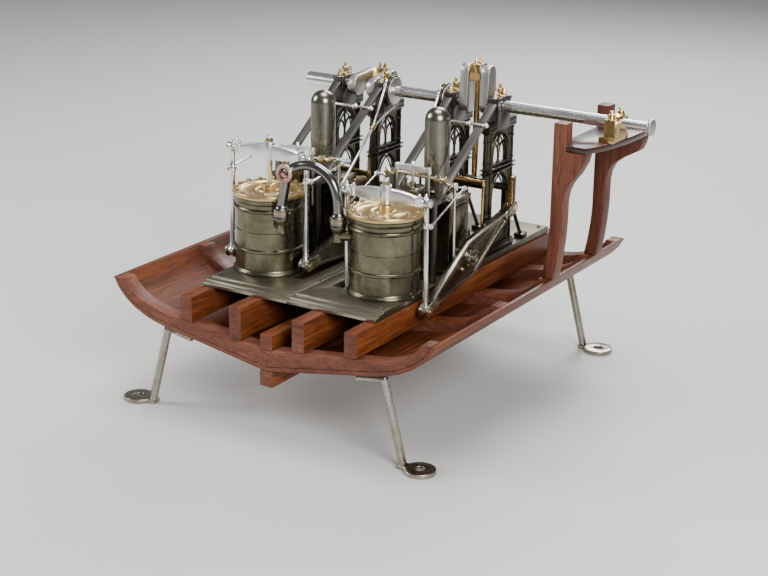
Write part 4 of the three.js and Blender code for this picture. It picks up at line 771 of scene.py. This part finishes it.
    # eccentric rod
    rodNode = node("eccentric_rod")
    ringCentre = Vector((0, shaftAxis.y - 2.4, shaftAxis.z + 0.3))
    eccentric = workUp(rodNode, "bright_steel")
    tint(eccentric, "gunmetal", lambda spot, normal: math.hypot(
        spot.y - ringCentre.y, spot.z - ringCentre.z) < eccentricLook["strapRadius"])
    rodFoot = pivot(node("eccentric_rod_swing"))
    along = (ringCentre - Vector((0, rodFoot.y, rodFoot.z))).normalized()
    joint = Vector((middle(rodNode).x, rodFoot.y, rodFoot.z)) + along * eccentricLook["jointAlong"]
    brassJoint = turnPiece(eccentricLook["joint"], joint, along, 24)
    finishPiece([brassJoint], node("eccentric_joint"), "brass", body("eccentric_rod"))
    print(side, "engine done")


engine("left", -1)
engine("right", 1)


# The steam pipe.

def steamPipe():
    (leftX, leftY), (rightX, rightY) = pipeLook["unions"]
    inletX, inletY, inletZ = pipeLook["inlet"]
    seat, rise = pipeLook["seat"], pipeLook["rise"]
    run = rightX - inletX
    crown = [(inletX, inletY + 1, inletZ), (inletX + 0.02 * run, leftY - 1, inletZ + 0.25 * rise),
             (inletX + 0.15 * run, leftY + 0.8 * (rightY - leftY), inletZ + 0.7 * rise),
             (inletX + 0.38 * run, rightY, inletZ + rise),
             (rightX - 0.38 * run, rightY, inletZ + 0.72 * rise),
             (rightX - 0.14 * run, rightY, inletZ - 0.36 * rise),
             (rightX - 0.03 * run, rightY, inletZ - 2 * rise),
             (rightX, rightY, seat + 8)]
    leg = [(leftX, leftY, seat + 8), (inletX, leftY + 0.4, inletZ + 0.5)]
    bars = [wire(smoothLine(crown), pipeLook["radius"], 8), wire(leg, pipeLook["radius"], 8)]
    unions = [turnPiece(pipeLook["union"], (*union, seat), sides=40) for union in pipeLook["unions"]]
    finishPiece([*bars, *unions], "steam_pipe_body", "pipe_steel", "root", ("steam_pipe",))
    rings = [turnPiece(pipeLook["ring"], (*union, seat), sides=40) for union in pipeLook["unions"]]
    finishPiece(rings, "steam_pipe_rings", "brass", "root")
    flangeFoot = (inletX, inletY + 2.2, inletZ)
    flange = turnPiece(pipeLook["flange"], flangeFoot, (0, -1, 0), 48)
    finishPiece([flange], "steam_pipe_flange", "pipe_copper", "root")
    recess = turnPiece(pipeLook["recess"], flangeFoot, (0, -1, 0), 40)
    finishPiece([recess], "steam_pipe_recess", "bore_red", "root")


steamPipe()
print("steam pipe done")


# Floor, light and camera.

studio = {
    "floor": (0.62, 0.62, 0.60), "sky": (0.34, 0.34, 0.35), "skyStrength": 0.6,
    "lamps": {"key": {"place": (1.25, -0.95, 0.95), "size": 0.9, "power": 36},
              "left": {"place": (-1.25, -0.65, 0.85), "size": 0.7, "power": 17},
              "back": {"place": (-0.35, 1.35, 1.05), "size": 0.8, "power": 20},
              "top": {"place": (0.05, 0.1, 1.7), "size": 1.0, "power": 20}},
}
view = {"place": (0.72123, -1.22971, 0.56163), "azimuth": -31.30, "elevation": 18.547, "roll": 0.871,
        "lens": 84.18, "sensor": 36}


def light(name, look):
    lamp = bpy.data.lights.new(name, "AREA")
    lamp.shape = "DISK"
    lamp.size = look["size"]
    lamp.energy = look["power"]
    holder = bpy.data.objects.new(name, lamp)
    bpy.context.scene.collection.objects.link(holder)
    holder.location = look["place"]
    aim = Vector((0, 0, 0.12)) - holder.location
    holder.rotation_euler = aim.to_track_quat("-Z", "Y").to_euler()


for lampName, lampLook in studio["lamps"].items():
    light(lampName, lampLook)

floorPaint = Paint("floor_card", {"Roughness": 0.6})
floorPaint.feed("Base Color", floorPaint.blend(floorPaint.noise(3), (*studio["floor"], 1),
                                               (*[tone * 1.03 for tone in studio["floor"]], 1)))
deselect()
bpy.ops.mesh.primitive_plane_add(size=14, location=(0, 0, 0))
floor = bpy.context.object
floor.name = "floor"
floor.data.materials.append(floorPaint.material)

world = bpy.context.scene.world or bpy.data.worlds.new("world")
bpy.context.scene.world = world
world.use_nodes = True
background = world.node_tree.nodes["Background"]
background.inputs["Color"].default_value = (*studio["sky"], 1)
background.inputs["Strength"].default_value = studio["skyStrength"]

cameraData = bpy.data.cameras.new("camera")
cameraData.lens = view["lens"]
cameraData.sensor_width = view["sensor"]
cameraData.dof.use_dof = False
camera = bpy.data.objects.new("camera", cameraData)
bpy.context.scene.collection.objects.link(camera)
camera.location = view["place"]
azimuth, elevation = math.radians(view["azimuth"]), math.radians(view["elevation"])
look = Vector((math.sin(azimuth) * math.cos(elevation), math.cos(azimuth) * math.cos(elevation),
               -math.sin(elevation)))
camera.rotation_euler = look.to_track_quat("-Z", "Y").to_euler()
camera.rotation_euler.rotate_axis("Z", math.radians(view["roll"]))
bpy.context.scene.camera = camera

print("set up")
